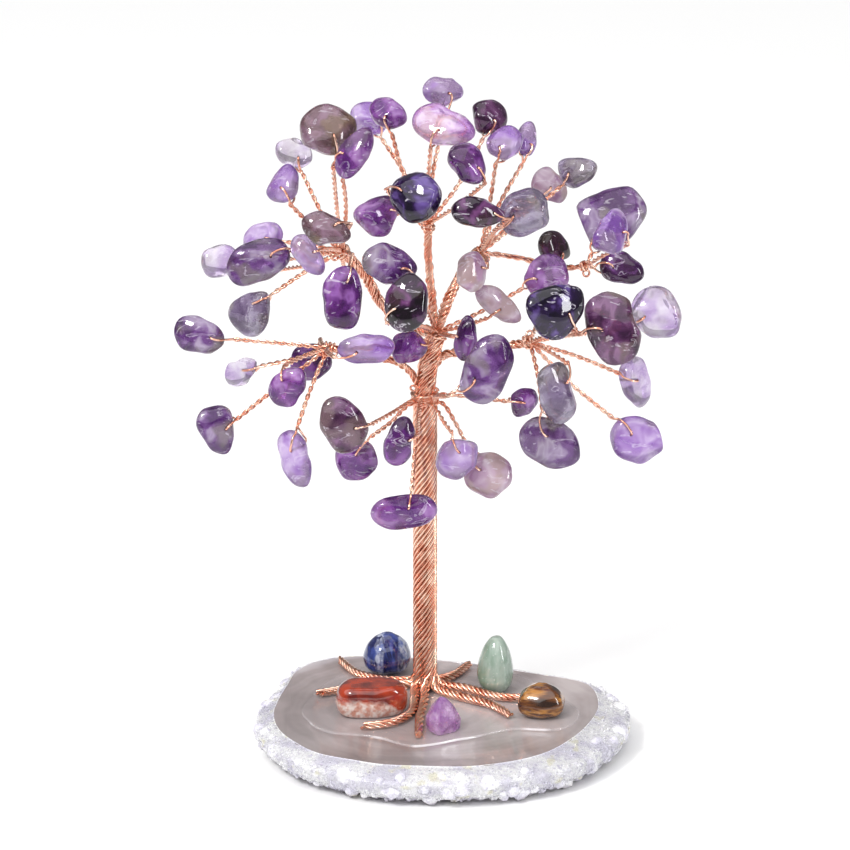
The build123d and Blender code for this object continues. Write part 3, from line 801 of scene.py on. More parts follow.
@dataclass(frozen=True)
class SodaliteFinish:
    """Deep blue with upright grey-white bands."""

    deep: Shade = (18, 24, 82)
    blue: Shade = (62, 80, 158)
    white: Shade = (190, 196, 216)
    haze: Shade = (96, 112, 172)
    middle: float = 7.8
    wander: float = 1.5
    wander_stretch: Spot = (1.0, 1.0, 0.5)
    band_rate: float = 1.35
    band_start: float = 3.6
    cloud_size: float = 2.4
    cloud_stretch: Spot = (1.3, 1.0, 0.45)

    def material(self) -> bpy.types.Material:
        """Makes the material.

        Returns:
            The material.
        """
        shader = Shader("sodalite", Coat_Weight=0.9, Coat_Roughness=0.02, Transmission_Weight=0.12)
        wander = self.wander * (shader.noise(4.5, 3.0, self.wander_stretch) - 0.5)
        across = shader.along(0) + self.middle + wander
        wave = (across * self.band_rate + self.band_start).sine()
        cloud = shader.noise(self.cloud_size, 4.0, self.cloud_stretch, warp=0.8)
        blue = shader.mix(cloud.between(0.35, 0.68), self.deep, self.blue)
        pale = shader.mix(shader.noise(1.5, 4.0).between(0.4, 0.62), self.white, self.haze)
        banded = wave.between(0.15, 0.75) * cloud.between(0.34, 0.52)
        shader.paint("Base Color", shader.mix(banded, blue, pale))
        shader.paint("Roughness", 0.05 + 0.08 * cloud)
        return shader.material


@dataclass(frozen=True)
class CarnelianFinish:
    """Dark orange-red on top, and pinkish white crystal below."""

    dark: Shade = (108, 20, 8)
    red: Shade = (188, 62, 26)
    pink: Shade = (214, 150, 130)
    white: Shade = (246, 228, 220)
    height: float = 6.2
    left_end: float = 8.5
    red_rise: float = 0.30

    def material(self) -> bpy.types.Material:
        """Makes the material.

        Returns:
            The material.
        """
        gloss = {"Coat_Weight": 0.8, "Coat_Roughness": 0.03}
        shader = Shader("carnelian", Transmission_Weight=0.22, IOR=1.54, **gloss)
        ragged = 0.5 * (shader.noise(3.0, 4.0) - 0.5)
        level = (shader.along(2) - SLICE_TOP) / self.height + ragged
        level = level + self.red_rise * (shader.along(0) + self.left_end).between(0.0, 4.0)
        red = shader.mix(shader.noise(3.4, 3.0).between(0.35, 0.65), self.dark, self.red)
        crystal = shader.mix(shader.noise(0.9, 4.0).between(0.35, 0.65), self.pink, self.white)
        shader.paint("Base Color", shader.mix(level.between(0.44, 0.60), crystal, red))
        shader.paint("Roughness", 0.42 - 0.36 * level.between(0.5, 0.7))
        shader.bump(shader.noise(0.8, 4.0) * (1 - level.between(0.45, 0.65)), 0.5, 0.8)
        return shader.material


@dataclass(frozen=True)
class RoughAmethystFinish:
    """A broken lilac crystal."""

    lilac: Shade = (176, 118, 190)
    pale: Shade = (226, 188, 230)
    refraction: float = 1.54

    def material(self) -> bpy.types.Material:
        """Makes the material.

        Returns:
            The material.
        """
        shader = Shader("rough_amethyst", Transmission_Weight=0.55, IOR=self.refraction)
        cloud = shader.noise(2.2, 4.0).between(0.35, 0.65)
        shader.paint("Base Color", shader.mix(cloud, self.lilac, self.pale))
        shader.paint("Roughness", 0.1 + 0.35 * shader.noise(1.5, 4.0).between(0.4, 0.7))
        shader.bump(shader.noise(1.2, 5.0), 0.4, 0.7)
        return shader.material


@dataclass(frozen=True)
class AventurineFinish:
    """Pale green, milky and faintly glittering."""

    green: Shade = (142, 172, 152)
    milk: Shade = (202, 218, 206)
    glitter: Shade = (240, 246, 240)
    cloud_size: float = 4.0
    cloud_stretch: Spot = (1.2, 1.0, 0.5)
    glitter_size: float = 0.35

    def material(self) -> bpy.types.Material:
        """Makes the material.

        Returns:
            The material.
        """
        gloss = {"Coat_Weight": 0.7, "Coat_Roughness": 0.03}
        shader = Shader("aventurine", Transmission_Weight=0.35, IOR=1.54, **gloss)
        cloud = shader.noise(self.cloud_size, 4.0, self.cloud_stretch)
        base = shader.mix(cloud.between(0.35, 0.68), self.green, self.milk)
        spark = shader.noise(self.glitter_size, 1.0).between(0.68, 0.74)
        shader.paint("Base Color", shader.mix(spark * 0.7, base, self.glitter))
        shader.paint("Roughness", 0.08 + 0.1 * cloud)
        shader.bump(shader.noise(3.0, 2.0), 0.15, 0.4)
        return shader.material


@dataclass(frozen=True)
class TigerEyeFinish:
    """Dark brown with silky gold bands."""

    dark: Shade = (42, 20, 8)
    brown: Shade = (98, 54, 20)
    gold: Shade = (184, 126, 56)
    shade: Shade = (84, 44, 18)
    band_size: float = 2.5
    band_stretch: Spot = (0.3, 0.5, 1.3)
    silk_size: float = 0.5
    silk_stretch: Spot = (0.15, 0.5, 1.6)
    silk: float = 0.12

    def material(self) -> bpy.types.Material:
        """Makes the material.

        Returns:
            The material.
        """
        shader = Shader("tiger_eye", Coat_Weight=0.9, Coat_Roughness=0.02)
        bands = shader.noise(self.band_size, 3.0, self.band_stretch, warp=0.4)
        silk = shader.noise(self.silk_size, 2.0, self.silk_stretch)
        stops = [(0.36, self.dark), (0.50, self.brown), (0.60, self.gold), (0.70, self.shade)]
        shader.paint("Base Color", shader.ramp(bands + self.silk * (silk - 0.5), stops))
        shader.paint("Roughness", 0.12 + 0.15 * silk)
        return shader.material


class Workshop:
    """Turns lines and bmeshes into finished pieces of the tree."""

    @staticmethod
    def piece(name: str, mesh: bpy.types.Mesh, materials: list[bpy.types.Material]) -> bpy.types.Object:
        """Puts a finished mesh into the scene, riding on the tree.

        Args:
            name: The piece's name.
            mesh: Its mesh, in metres and in place.
            materials: Its materials, in the order of its faces' numbers.

        Returns:
            The new object.
        """
        mesh.name = name
        for material in materials:
            mesh.materials.append(material)
        made = bpy.data.objects.new(name, mesh)
        bpy.context.scene.collection.objects.link(made)
        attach(made, "root")
        LOG.info("%s: %d faces", name, len(mesh.polygons))
        return made

    @staticmethod
    def copper(name: str, mesh: bpy.types.Mesh, copper: bpy.types.Material) -> bpy.types.Object:
        """Puts finished wires into the scene.

        Args:
            name: The piece's name.
            mesh: Its mesh, in metres and in place.
            copper: Its material.

        Returns:
            The new object.
        """
        mesh.shade_smooth()
        made = Workshop.piece(name, mesh, [copper])
        return made

    @staticmethod
    def mesh(bm: bmesh.types.BMesh, smooth: bool = True, sharp: float = 0.0) -> bpy.types.Mesh:
        """A mesh in metres from a bmesh in millimetres.

        Args:
            bm: The shape, which is used up.
            smooth: Whether its faces are shaded smooth.
            sharp: Edges turned further than this angle in degrees stay sharp, where it isn't 0.

        Returns:
            The mesh.
        """
        bmesh.ops.scale(bm, vec=(MM, MM, MM), verts=bm.verts)
        made = bpy.data.meshes.new("piece")
        bm.to_mesh(made)
        bm.free()
        if smooth:
            made.shade_smooth()
            if sharp:
                made.set_sharp_from_angle(angle=math.radians(sharp))
        else:
            made.shade_flat()
        return made

    @staticmethod
    def smooth(bm: bmesh.types.BMesh, factor: float) -> None:
        """Evens out a shape a little.

        Args:
            bm: The shape.
            factor: How far each point moves towards its neighbours.
        """
        axes = {"use_axis_x": True, "use_axis_y": True, "use_axis_z": True}
        bmesh.ops.smooth_vert(bm, verts=bm.verts, factor=factor, **axes)

    @staticmethod
    def wires(lines: list[Line], radius: float, sides_level: int = 1) -> bpy.types.Mesh:
        """Round wires along lines.

        Args:
            lines: Their centrelines.
            radius: Radius of each wire in millimetres.
            sides_level: How round they are.

        Returns:
            Their mesh, in metres.
        """
        curve = bpy.data.curves.new("wire", "CURVE")
        curve.dimensions = "3D"
        curve.bevel_depth = radius * MM
        curve.bevel_resolution = sides_level
        curve.use_fill_caps = True
        for line in lines:
            spline = curve.splines.new("POLY")
            spline.points.add(len(line.points) - 1)
            flat = [number for point in line.points for number in (*(point * MM), 1.0)]
            spline.points.foreach_set("co", flat)
        holder = bpy.data.objects.new("wire", curve)
        bpy.context.scene.collection.objects.link(holder)
        made = bpy.data.meshes.new_from_object(holder)
        bpy.data.objects.remove(holder)
        bpy.data.curves.remove(curve)
        made.shade_smooth()
        return made

    @staticmethod
    def joined(meshes: list[bpy.types.Mesh], numbers: list[int] | None = None) -> bpy.types.Mesh:
        """Several meshes as one, each with its own material number.

        Args:
            meshes: The meshes, which are used up.
            numbers: The material number of each.

        Returns:
            The joined mesh.
        """
        bm = bmesh.new()
        for index, part in enumerate(meshes):
            before = len(bm.faces)
            bm.from_mesh(part)
            bm.faces.ensure_lookup_table()
            if numbers:
                for face in bm.faces[before:]:
                    face.material_index = numbers[index]
            bpy.data.meshes.remove(part)
        made = bpy.data.meshes.new("piece")
        bm.to_mesh(made)
        bm.free()
        return made


@dataclass
class TumbledStone:
    """The shape of a tumbled stone: a soft outline, a rounded thickness and a few worn flats."""

    form: Form
    length: float
    width: float
    height: float
    seed: int
    flats: int = 5
    flat_lean: float = 0.9
    flat_depths: Share = (0.74, 0.9)
    boxiness: float = 0.79
    wedging: float = 0.14
    detail: int = 4
    rays: int = 72

    def reach(self, angle: float) -> float:
        """How far the outline's own polygon reaches from its middle.

        Args:
            angle: Direction in radians.

        Returns:
            The distance in millimetres.
        """
        toward_x, toward_y = math.cos(angle), math.sin(angle)
        corners = [(x * self.length, y * self.width) for x, y in self.form.value]
        found = 0.0
        for (x1, y1), (x2, y2) in zip(corners, corners[1:] + corners[:1]):
            cross = toward_x * (y2 - y1) - toward_y * (x2 - x1)
            if abs(cross) > 1e-9:
                share = (x1 * toward_y - y1 * toward_x) / cross
                if -1e-9 <= share <= 1 + 1e-9:
                    found = max(found, (x1 * (y2 - y1) - y1 * (x2 - x1)) / cross)
        return found

    def soft_reaches(self, wear: int = 4) -> list[float]:
        """The outline's reach all round, with its corners worn.

        Args:
            wear: How far the corners are worn, in steps of 5 degrees.

        Returns:
            The reach at each step, and the first again at the end.
        """
        raw = [self.reach(TURN * i / self.rays) for i in range(self.rays)]
        near = range(-wear, wear + 1)
        soft = []
        for step in range(self.rays):
            total = sum(raw[(step + k) % self.rays] * (wear + 1 - abs(k)) for k in near)
            soft.append(total / (wear + 1) ** 2)
        return [*soft, soft[0]]

    def ray(self, angle: float) -> float:
        """The place of a direction in the list of reaches."""
        return angle / TURN % 1.0 * self.rays

    def worn_flats(self, chance: random.Random) -> list[tuple[Vector, float]]:
        """The flats that are worn on the stone.

        Args:
            chance: Where their turns and depths come from.

        Returns:
            Each flat's direction, and its distance from the middle as a share of the radius.
        """
        flats = []
        for _ in range(self.flats):
            spin = chance.uniform(0, TURN)
            lift = chance.uniform(-self.flat_lean, self.flat_lean)
            facing = Vector((math.cos(spin), math.sin(spin), lift)).normalized()
            flats.append((facing, chance.uniform(*self.flat_depths)))
        return flats

    def bmesh(self) -> bmesh.types.BMesh:
        """Makes the stone.

        Returns:
            The stone round the origin, in millimetres, with its thickness along Z.
        """
        chance = random.Random(self.seed)
        reaches = self.soft_reaches()
        shift = Vector((self.seed * 3.7, self.seed * 1.3, self.seed * 0.7))
        flats = self.worn_flats(chance)
        wedge = chance.uniform(0, TURN)
        bm = bmesh.new()
        bmesh.ops.create_icosphere(bm, subdivisions=self.detail, radius=1.0)
        for vertex in bm.verts:
            spot = vertex.co.normalized()
            for normal, depth in flats:
                over = spot.dot(normal) - depth
                if over > 0:
                    spot = spot - normal * over * 0.9
            ring = min(1.0, math.hypot(spot.x, spot.y))
            angle = math.atan2(spot.y, spot.x)
            reach = sampled(reaches, self.ray(angle)) * ring**self.boxiness
            rise = math.copysign(abs(spot.z) ** self.boxiness, spot.z) * self.height / 2
            rise *= 1 - self.wedging + self.wedging * math.cos(angle - wedge) * ring
            worn = 1.025 - 0.04 * (1 + noise.noise(vertex.co * 1.5 + shift))
            vertex.co = Vector((math.cos(angle) * reach * worn, math.sin(angle) * reach * worn, rise * worn))
        Workshop.smooth(bm, 0.4)
        return bm


@dataclass
class ChipOnWire:
    """One drilled chip and the wire that threads it."""

    chip: Chip
    seed: int
    way_out: list[Vector]
    crown_down: float = 305.0
    crown_reach: float = 240.0
    most_nod: float = -26.0
    most_turn: float = 20.0
    bore_share: float = 0.40
    bore_radius: float = 0.30
    pair_radius: float = 0.26
    twist_pitch: float = 3.5
    step: float = 0.26
    shape: TumbledStone = field(init=False)
    place: Matrix = field(init=False)
    toward: Vector = field(init=False)
    reach: float = field(init=False)
    surface: BVHTree = field(init=False)

    def __post_init__(self) -> None:
        """Works out where the chip is and on which side its wire leaves."""
        chip = self.chip
        width = chip.wide * PIXEL
        self.shape = TumbledStone(chip.form, chip.long * PIXEL, width, width * chip.thick, self.seed)
        self.place = Matrix.Translation(crown_point(chip.across, chip.down, chip.depth)) @ self.turned()
        local = self.place.inverted() @ self.way_out[-1]
        self.toward = Vector((local.x, local.y, 0)).normalized()
        self.reach = self.shape.reach(math.atan2(self.toward.y, self.toward.x))

    def turned(self) -> Matrix:
        """How the chip is turned: towards the camera, and further aside the further out it hangs.

        Returns:
            The turn, as a matrix of four rows.
        """
        chip = self.chip
        tilt_cos, tilt_sin = math.cos(VIEW_TILT), math.sin(VIEW_TILT)
        facing = Matrix(((1, 0, 0), (0, tilt_sin, -tilt_cos), (0, tilt_cos, tilt_sin)))
        nod = self.most_nod * (self.crown_down - chip.down) / self.crown_reach
        turn = chip.turn + self.most_turn * (chip.across - PICTURE_MIDDLE) / self.crown_reach
        spins = [
            Matrix.Rotation(math.radians(degrees), 3, axis)
            for degrees, axis in ((nod, "X"), (turn, "Y"), (chip.tilt, "Z"))
        ]
        return (facing @ (spins[0] @ spins[1] @ spins[2])).to_4x4()

    def flat(self, along: float, rise: float, aside: float = 0.0) -> Vector:
        """A point of the chip in its own millimetres.

        Args:
            along: Its distance from the chip's middle towards the wire.
            rise: Its height over the middle plane.
            aside: Its distance to the left of that way.

        Returns:
            The point.
        """
        left = Vector((-self.toward.y, self.toward.x, 0))
        return self.toward * along + left * aside + Vector((0, 0, rise))

    def local(self, along: float, rise: float, aside: float = 0.0) -> Vector:
        """The same point in the tree's millimetres."""
        return self.place @ self.flat(along, rise, aside)

    def stone(self) -> bpy.types.Mesh:
        """Makes the drilled stone, and keeps its undrilled surface for the wire.

        Returns:
            Its mesh, in metres and in place.
        """
        bm = self.shape.bmesh()
        self.surface = BVHTree.FromBMesh(bm)
        bm.transform(self.place)
        whole = Workshop.mesh(bm)
        drill = bmesh.new()
        bmesh.ops.create_cone(
            drill, cap_ends=True, segments=14, radius1=self.bore_radius, radius2=self.bore_radius,
            depth=self.shape.height * 1.6,
        )
        drill.transform(self.place @ Matrix.Translation(self.toward * self.reach * self.bore_share))
        holder = bpy.data.objects.new("stone", whole)
        cutter = bpy.data.objects.new("drill", Workshop.mesh(drill, smooth=False))
        for thing in (holder, cutter):
            bpy.context.scene.collection.objects.link(thing)
        cut = holder.modifiers.new("bore", "BOOLEAN")
        cut.object = cutter
        cut.operation = "DIFFERENCE"
        cut.solver = "EXACT"
        bpy.context.view_layer.update()
        worked = holder.evaluated_get(bpy.context.evaluated_depsgraph_get())
        drilled = bpy.data.meshes.new_from_object(worked)
        bpy.data.objects.remove(holder)
        bpy.data.objects.remove(cutter)
        drilled.shade_smooth()
        drilled.set_sharp_from_angle(angle=math.radians(38))
        return drilled

    def face_height(self, along: float, side: int, aside: float = 0.0) -> float:
        """How far the stone's face stands from its middle plane.

        Args:
            along: Distance from the chip's middle towards the wire.
            side: 1 for the front face, -1 for the back face.
            aside: Distance to the left of that way.

        Returns:
            The height in millimetres.
        """
        start = self.flat(along, side * (self.shape.length + self.shape.width), aside)
        hit = self.surface.ray_cast(start, Vector((0, 0, -side)))[0]
        return abs(hit.z) if hit else 0.0

    def leg(self, side: int, edge: float, chance: random.Random) -> list[Vector]:
        """The wire's way over one face, from the stem to the mouth of the bore.

        Args:
            side: 1 for the front face, -1 for the back face.
            edge: The stone's reach towards the wire.
            chance: Where its looseness and its bow come from.

        Returns:
            The points that it passes.
        """
        bore = self.reach * self.bore_share
        loose = chance.uniform(0.03, 0.2)
        lift = WIRE_RADIUS + loose
        bow = chance.uniform(-0.24, 0.24) * (edge - bore + 1.0)
        half = (edge + bore) / 2
        brim = self.face_height(edge * 0.9, side, bow)
        return [
            self.local(edge + WIRE_RADIUS + 0.1 + loose, side * (0.3 * brim + 0.22), bow * 0.7),
            self.local(edge * 0.94, side * (brim + lift), bow),
            self.local(half, side * (self.face_height(half, side, bow) + lift + loose), bow),
            self.local(bore + 0.2, side * (self.face_height(bore + 0.2, side) + lift), bow * 0.4),
            self.local(bore, side * (self.face_height(bore, side) * 0.8)),
        ]

    def twig(self, edge: float, chance: random.Random) -> Line:
        """The middle of the twisted pair, from the stem at the stone to the limb.

        Args:
            edge: The stone's reach towards the wire.
            chance: Where the stem's length and the pair's bow come from.

        Returns:
            The line.
        """
        far_stem = max(self.reach * 1.22 + 0.5, edge + 0.7)
        stem_reach = edge + 0.5 + (max(far_stem - edge - 0.5, 0.2)) * chance.uniform(0.15, 0.85)
        stem, far = self.local(stem_reach, 0), self.local(far_stem, 0)
        ways = [stem]
        if (far - stem).length > 1.2:
            ways.append(far)
        onward = list(reversed(self.way_out))
        gap = onward[0] - ways[-1]
        bow = gap.cross(Vector((0, 1, 0.3))).normalized() * chance.uniform(-0.045, 0.045)
        ways.append(ways[-1].lerp(onward[0], 0.5) + bow * gap.length)
        return Line.through(ways + onward, self.step)

    def wire(self) -> Line:
        """The wire's whole way: in from the limb, through the stone and back.

        Returns:
            The wire's centreline.
        """
        chance = random.Random(self.seed * 7 + 1)
        size = self.shape.length + self.shape.width
        outside = self.surface.ray_cast(self.toward * size, -self.toward)[0]
        edge = outside.length if outside else self.reach
        twig = self.twig(edge, chance)
        normal = self.place.to_3x3() @ Vector((0, 0, 1))
        first = twig.wound(self.pair_radius, self.twist_pitch, 0.0, normal)
        second = twig.wound(self.pair_radius, self.twist_pitch, math.pi, normal)
        front, back = self.leg(1, edge, chance), self.leg(-1, edge, chance)
        middle = self.local(self.reach * self.bore_share, 0)
        knots = [first.points[0], *front, middle, *reversed(back), second.points[0]]
        loop = Line.through(knots, self.step)
        return Line(list(reversed(first.points))[:-1] + loop.points + second.points[1:])


@dataclass
class Limb:
    """A limb: pairs of twisted wire laid round each other, with wraps and a loose end where they part."""

    name: str
    spots: tuple[Spot, ...]
    chips: int
    packing: float = 1.04
    drawn_wire: float = 0.45
    pair_width: float = 0.86
    pair_radius: float = 0.21
    pair_pitch: float = 7.0
    least_ring: float = 0.24
    least_lay: float = 5.5
    lay_rate: float = 9.5
    wrap_lean: float = 0.28
    wrap_turns: float = 1.15
    wrap_climb: float = 0.35
    end_turns: float = 0.9
    least_core: float = 0.15

    def radius(self) -> float:
        """The limb's radius in millimetres."""
        return self.packing * self.drawn_wire * math.sqrt(2 * self.chips) / 2

    def end(self) -> Vector:
        """Where its wires part."""
        return crown_point(*self.spots[-1])

    def rope(self, line: Line, chance: random.Random) -> list[Line]:
        """The pairs of twisted wire.

        Args:
            line: The limb's middle.
            chance: Where their unevenness comes from.

        Returns:
            The wires' lines.
        """
        ring = max(self.radius() - self.pair_width / 2, self.least_ring)
        pairs = max(2, int(TURN * ring / self.pair_width))
        lay = max(self.least_lay, self.lay_rate * ring)
        lines = []
        for pair in range(pairs):
            middle = line.wound(ring * chance.uniform(0.92, 1.08), lay, TURN * pair / pairs)
            start = chance.uniform(0, math.pi)
            for half in range(2):
                lines.append(middle.wound(self.pair_radius, self.pair_pitch, start + half * math.pi))
        return lines

    def knot(self, tip: Vector, tangent: Vector, chance: random.Random) -> list[Line]:
        """The wraps round the limb's end, and the loose end that curls beside them.

        Args:
            tip: Where the limb's wires part.
            tangent: The limb's direction there.
            chance: Where the wraps' lean and size come from.

        Returns:
            The wires' lines.
        """
        side = tangent.orthogonal().normalized()
        lines = []
        for turn in range(3 if self.chips > 5 else 2):
            lean = Vector((chance.uniform(-1, 1), chance.uniform(-1, 1), chance.uniform(-1, 1)))
            axis = (tangent + lean * self.wrap_lean).normalized()
            across = (side - axis * side.dot(axis)).normalized()
            size = self.radius() + 0.12 + chance.uniform(-0.05, 0.22)
            climb = axis * self.wrap_climb
            centre = tip - tangent * (0.9 - 0.6 * turn) - climb / 2
            over = axis.cross(across)
            lines.append(Line.coil(centre, across * size, over * size, self.wrap_turns, 30, climb=climb))
        swing, spread = chance.uniform(0, 6), chance.uniform(0.5, 0.7)
        outer = (side * math.cos(swing) + tangent.cross(side) * math.sin(swing)).normalized()
        centre = tip + outer * (self.radius() + spread * 1.1)
        curl = Line.coil(centre, outer * spread, tangent * spread, self.end_turns, 23, start=math.pi)
        return [*lines, Line([tip, *curl.points])]

    def build(self, copper: bpy.types.Material) -> None:
        """Makes the limb.

        Args:
            copper: Its material.
        """
        chance = random.Random(self.name)
        line = Line.through([crown_point(*spot) for spot in self.spots], 0.3)
        lines = [*self.rope(line, chance), *self.knot(line.points[-1], line.tangents()[-1], chance)]
        meshes = [Workshop.wires(lines, WIRE_RADIUS)]
        core = self.radius() - self.pair_width * 0.75
        if core > self.least_core:
            meshes.append(Workshop.wires([line], core, 2))
        made = Workshop.copper(f"{self.name}_wires", Workshop.joined(meshes), copper)
        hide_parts(self.name)


class Crossing(NamedTuple):
    """How a strand lies at one point of its way."""

    outward: Vector
    across: Vector
    trunk_share: float


@dataclass
class Trunk:
    """The trunk's laid strands, which run out at the foot as twisted roots."""

    strands: int = 8
    wires_per_root: int = 5
    wire_radius: float = 0.33
    strand_places: tuple[Share, ...] = ((0.16, -0.36), (0.16, 0.36), (-0.3, 0.0))
    into_binding: float = 0.3
    root_swell: float = 0.24
    root_twist: float = 6.4
    slow_twists: dict[str, float] = field(default_factory=lambda: {"front": 13.0, "front_left": 8.5})
    lying: float = SLICE_TOP + ROOT_RADIUS
    step: float = 0.4

    def way(self, number: int, shares: tuple[Share, ...]) -> tuple[Line, int]:
        """The way of one strand and its root.

        Args:
            number: Which strand, counted from the right.
            shares: The root's places on the slice.

        Returns:
            The line from the top of the trunk to the root's tip, and the number of its first root point.
        """
        start = TURN * number / self.strands
        height = BINDING_BOTTOM + self.into_binding - TRUNK_FOOT
        laid = []
        count = int(height / self.step)
        for index in range(count + 1):
            rise = height * (1 - index / count)
            laid.append(round_point(STRAND_RING, start + TURN * rise / LAY_PITCH, TRUNK_FOOT + rise))
        knee = round_point(ROOT_START_REACH, start, self.lying + 0.35)
        outer = [slice_point(share, self.lying) for share in shares]
        bend = Line.through([laid[-8], laid[-1], knee, *outer], self.step)
        first = Line.through([laid[-8], laid[-1]], self.step)
        return Line(laid + bend.points[len(first.points) :]), len(laid)

    def crossings(self, way: Line) -> list[Crossing]:
        """How the strand lies at each point of its way: flat in the trunk, and round as a root.

        Args:
            way: The strand's way.

        Returns:
            The crossing at each point.
        """
        found = []
        for point, tangent in zip(way.points, way.tangents()):
            share = clamped((point.z - self.lying) / (TRUNK_FOOT + 1.5 - self.lying), 0.0, 1.0)
            share = share * share * (3 - 2 * share)
            radial = Vector((point.x, point.y, 0)).normalized()
            aim = radial * share + Vector((0, 0, 1)) * (1 - share)
            outward = (aim - tangent * aim.dot(tangent)).normalized()
            found.append(Crossing(outward, tangent.cross(outward), share))
        return found

    def tip_ring(self) -> float:
        """How far a root's wires are from its middle at its tip."""
        return ROOT_RADIUS - self.wire_radius - 0.06

    def wire(self, number: int, way: Line, knee: int, twist: float, chance: random.Random) -> Line:
        """One wire of a strand and its root.

        Args:
            number: Which wire. The first ones run through the trunk, and the others start at its foot.
            way: The strand's way.
            knee: The number of the way's first root point.
            twist: Length of one turn of the root's wires.
            chance: Where its waver and its length come from.

        Returns:
            The wire's line.
        """
        laid = number < len(self.strand_places)
        flat = self.strand_places[number] if laid else (-0.75, 0.25 * (number - 4))
        begin = 0 if laid else knee - 12
        wobble = chance.uniform(0, 10)
        after = max(len(way.points) - knee, 1)
        crossings = self.crossings(way)
        travelled, points = 0.0, []
        for index in range(begin, len(way.points)):
            point = way.points[index]
            outward, across, share = crossings[index]
            if index > knee:
                travelled += (point - way.points[index - 1]).length
            angle = TURN * number / self.wires_per_root + TURN * travelled / twist
            ring = self.tip_ring() + self.root_swell * (1 - max(index - knee, 0) / after)
            x = flat[0] * share + ring * math.cos(angle) * (1 - share)
            y = flat[1] * share + ring * math.sin(angle) * (1 - share)
            wander = 0.035 * noise.noise(Vector((wobble, travelled * 0.4 + index * 0.08, number)))
            points.append(point + outward * (x + wander) + across * (y + wander))
        return Line(points[: len(points) - chance.randint(0, 3)])

    def build(self, copper: bpy.types.Material) -> None:
        """Makes every strand with its root.

        Args:
            copper: Their material.
        """
        for number, (name, shares) in enumerate(ROOTS.items()):
            chance = random.Random(name)
            way, knee = self.way(number, shares)
            twist = self.slow_twists.get(name, self.root_twist)
            lines = [self.wire(wire, way, knee, twist, chance) for wire in range(self.wires_per_root)]
            core = Workshop.wires([Line(way.points[knee - 2 : -3])], self.tip_ring())
            mesh = Workshop.joined([Workshop.wires(lines, self.wire_radius, 2), core])
            made = Workshop.copper(f"strand_and_root_{name}_wires", mesh, copper)
            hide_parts(f"strand_{name}", f"root_{name}")


@dataclass
class CrotchBinding:
    """The messy wraps of wire where the limbs leave the trunk, with two small eyes on top of them."""

    turns: float = 5.2
    steps: int = 190
    reach: float = 2.62
    sway: float = 0.16
    tilts: Spot = (0.5, -0.42, 0.3)
    eyes: tuple[tuple[float, float, float, float], ...] = ((413, 389, -0.04, 0.62), (436, 391, -0.04, 0.5))
    eye_turns: float = 1.25

    def coil(self) -> Line:
        """The wire that is wound round the trunk's top.

        Returns:
            Its line.
        """
        points = []
        for index in range(self.steps + 1):
            share = index / self.steps
            angle = TURN * self.turns * share
            sway = self.sway * noise.noise(Vector((angle * 0.5, 3.1, 0.4)))
            height = BINDING_BOTTOM + 0.15 + (BINDING_HEIGHT - 0.3) * share + sway * 1.8
            points.append(round_point(self.reach + sway, angle, height))
        return Line(points)

    def hoop(self, tilt: float, spin: float) -> Line:
        """A leaning wrap over the coil.

        Args:
            tilt: How far it leans.
            spin: Where it starts, in radians.

        Returns:
            Its line.
        """
        points = []
        for index in range(41):
            turned = TURN * 1.02 * index / 40
            rise = BINDING_BOTTOM + BINDING_HEIGHT / 2 + math.sin(turned) * tilt * 2.2
            points.append(round_point(self.reach + 0.14, spin + turned, rise))
        return Line(points)

    def eye(self, centre: Vector, size: float, tip: Vector) -> Line:
        """A small open loop of wire.

        Args:
            centre: Its middle.
            size: Its radius.
            tip: How far its end has moved away from a flat loop.

        Returns:
            Its line.
        """
        points = []
        for index in range(27):
            angle = TURN * self.eye_turns * index / 26
            flat = Vector((math.cos(angle), 0.25 * math.sin(angle * 0.5), math.sin(angle))) * size
            points.append(centre + flat + tip * (index / 26) * 0.8)
        return Line(points)

    def build(self, copper: bpy.types.Material) -> None:
        """Makes the wraps and the eyes.

        Args:
            copper: Their material.
        """
        chance = random.Random(5)
        lines = [self.coil(), *(self.hoop(tilt, chance.uniform(0, 6)) for tilt in self.tilts)]
        heart = Line([Vector((0, 0, BINDING_BOTTOM + 0.1)), Vector((0, 0, CROTCH.z - 0.1))])
        core = Workshop.wires([heart], self.reach - 0.15, 6)
        mesh = Workshop.joined([Workshop.wires(lines, WIRE_RADIUS), core])
        made = Workshop.copper("crotch_binding_wraps", mesh, copper)
        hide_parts("crotch_binding")
        loops = []
        for across, down, depth, size in self.eyes:
            tip = Vector((chance.uniform(-0.4, 0.4), chance.uniform(-0.3, 0.3), chance.uniform(-0.4, 0.4)))
            loops.append(self.eye(crown_point(across, down, depth), size, tip))
        Workshop.copper("wire_eyes", Workshop.wires(loops, WIRE_RADIUS), copper)


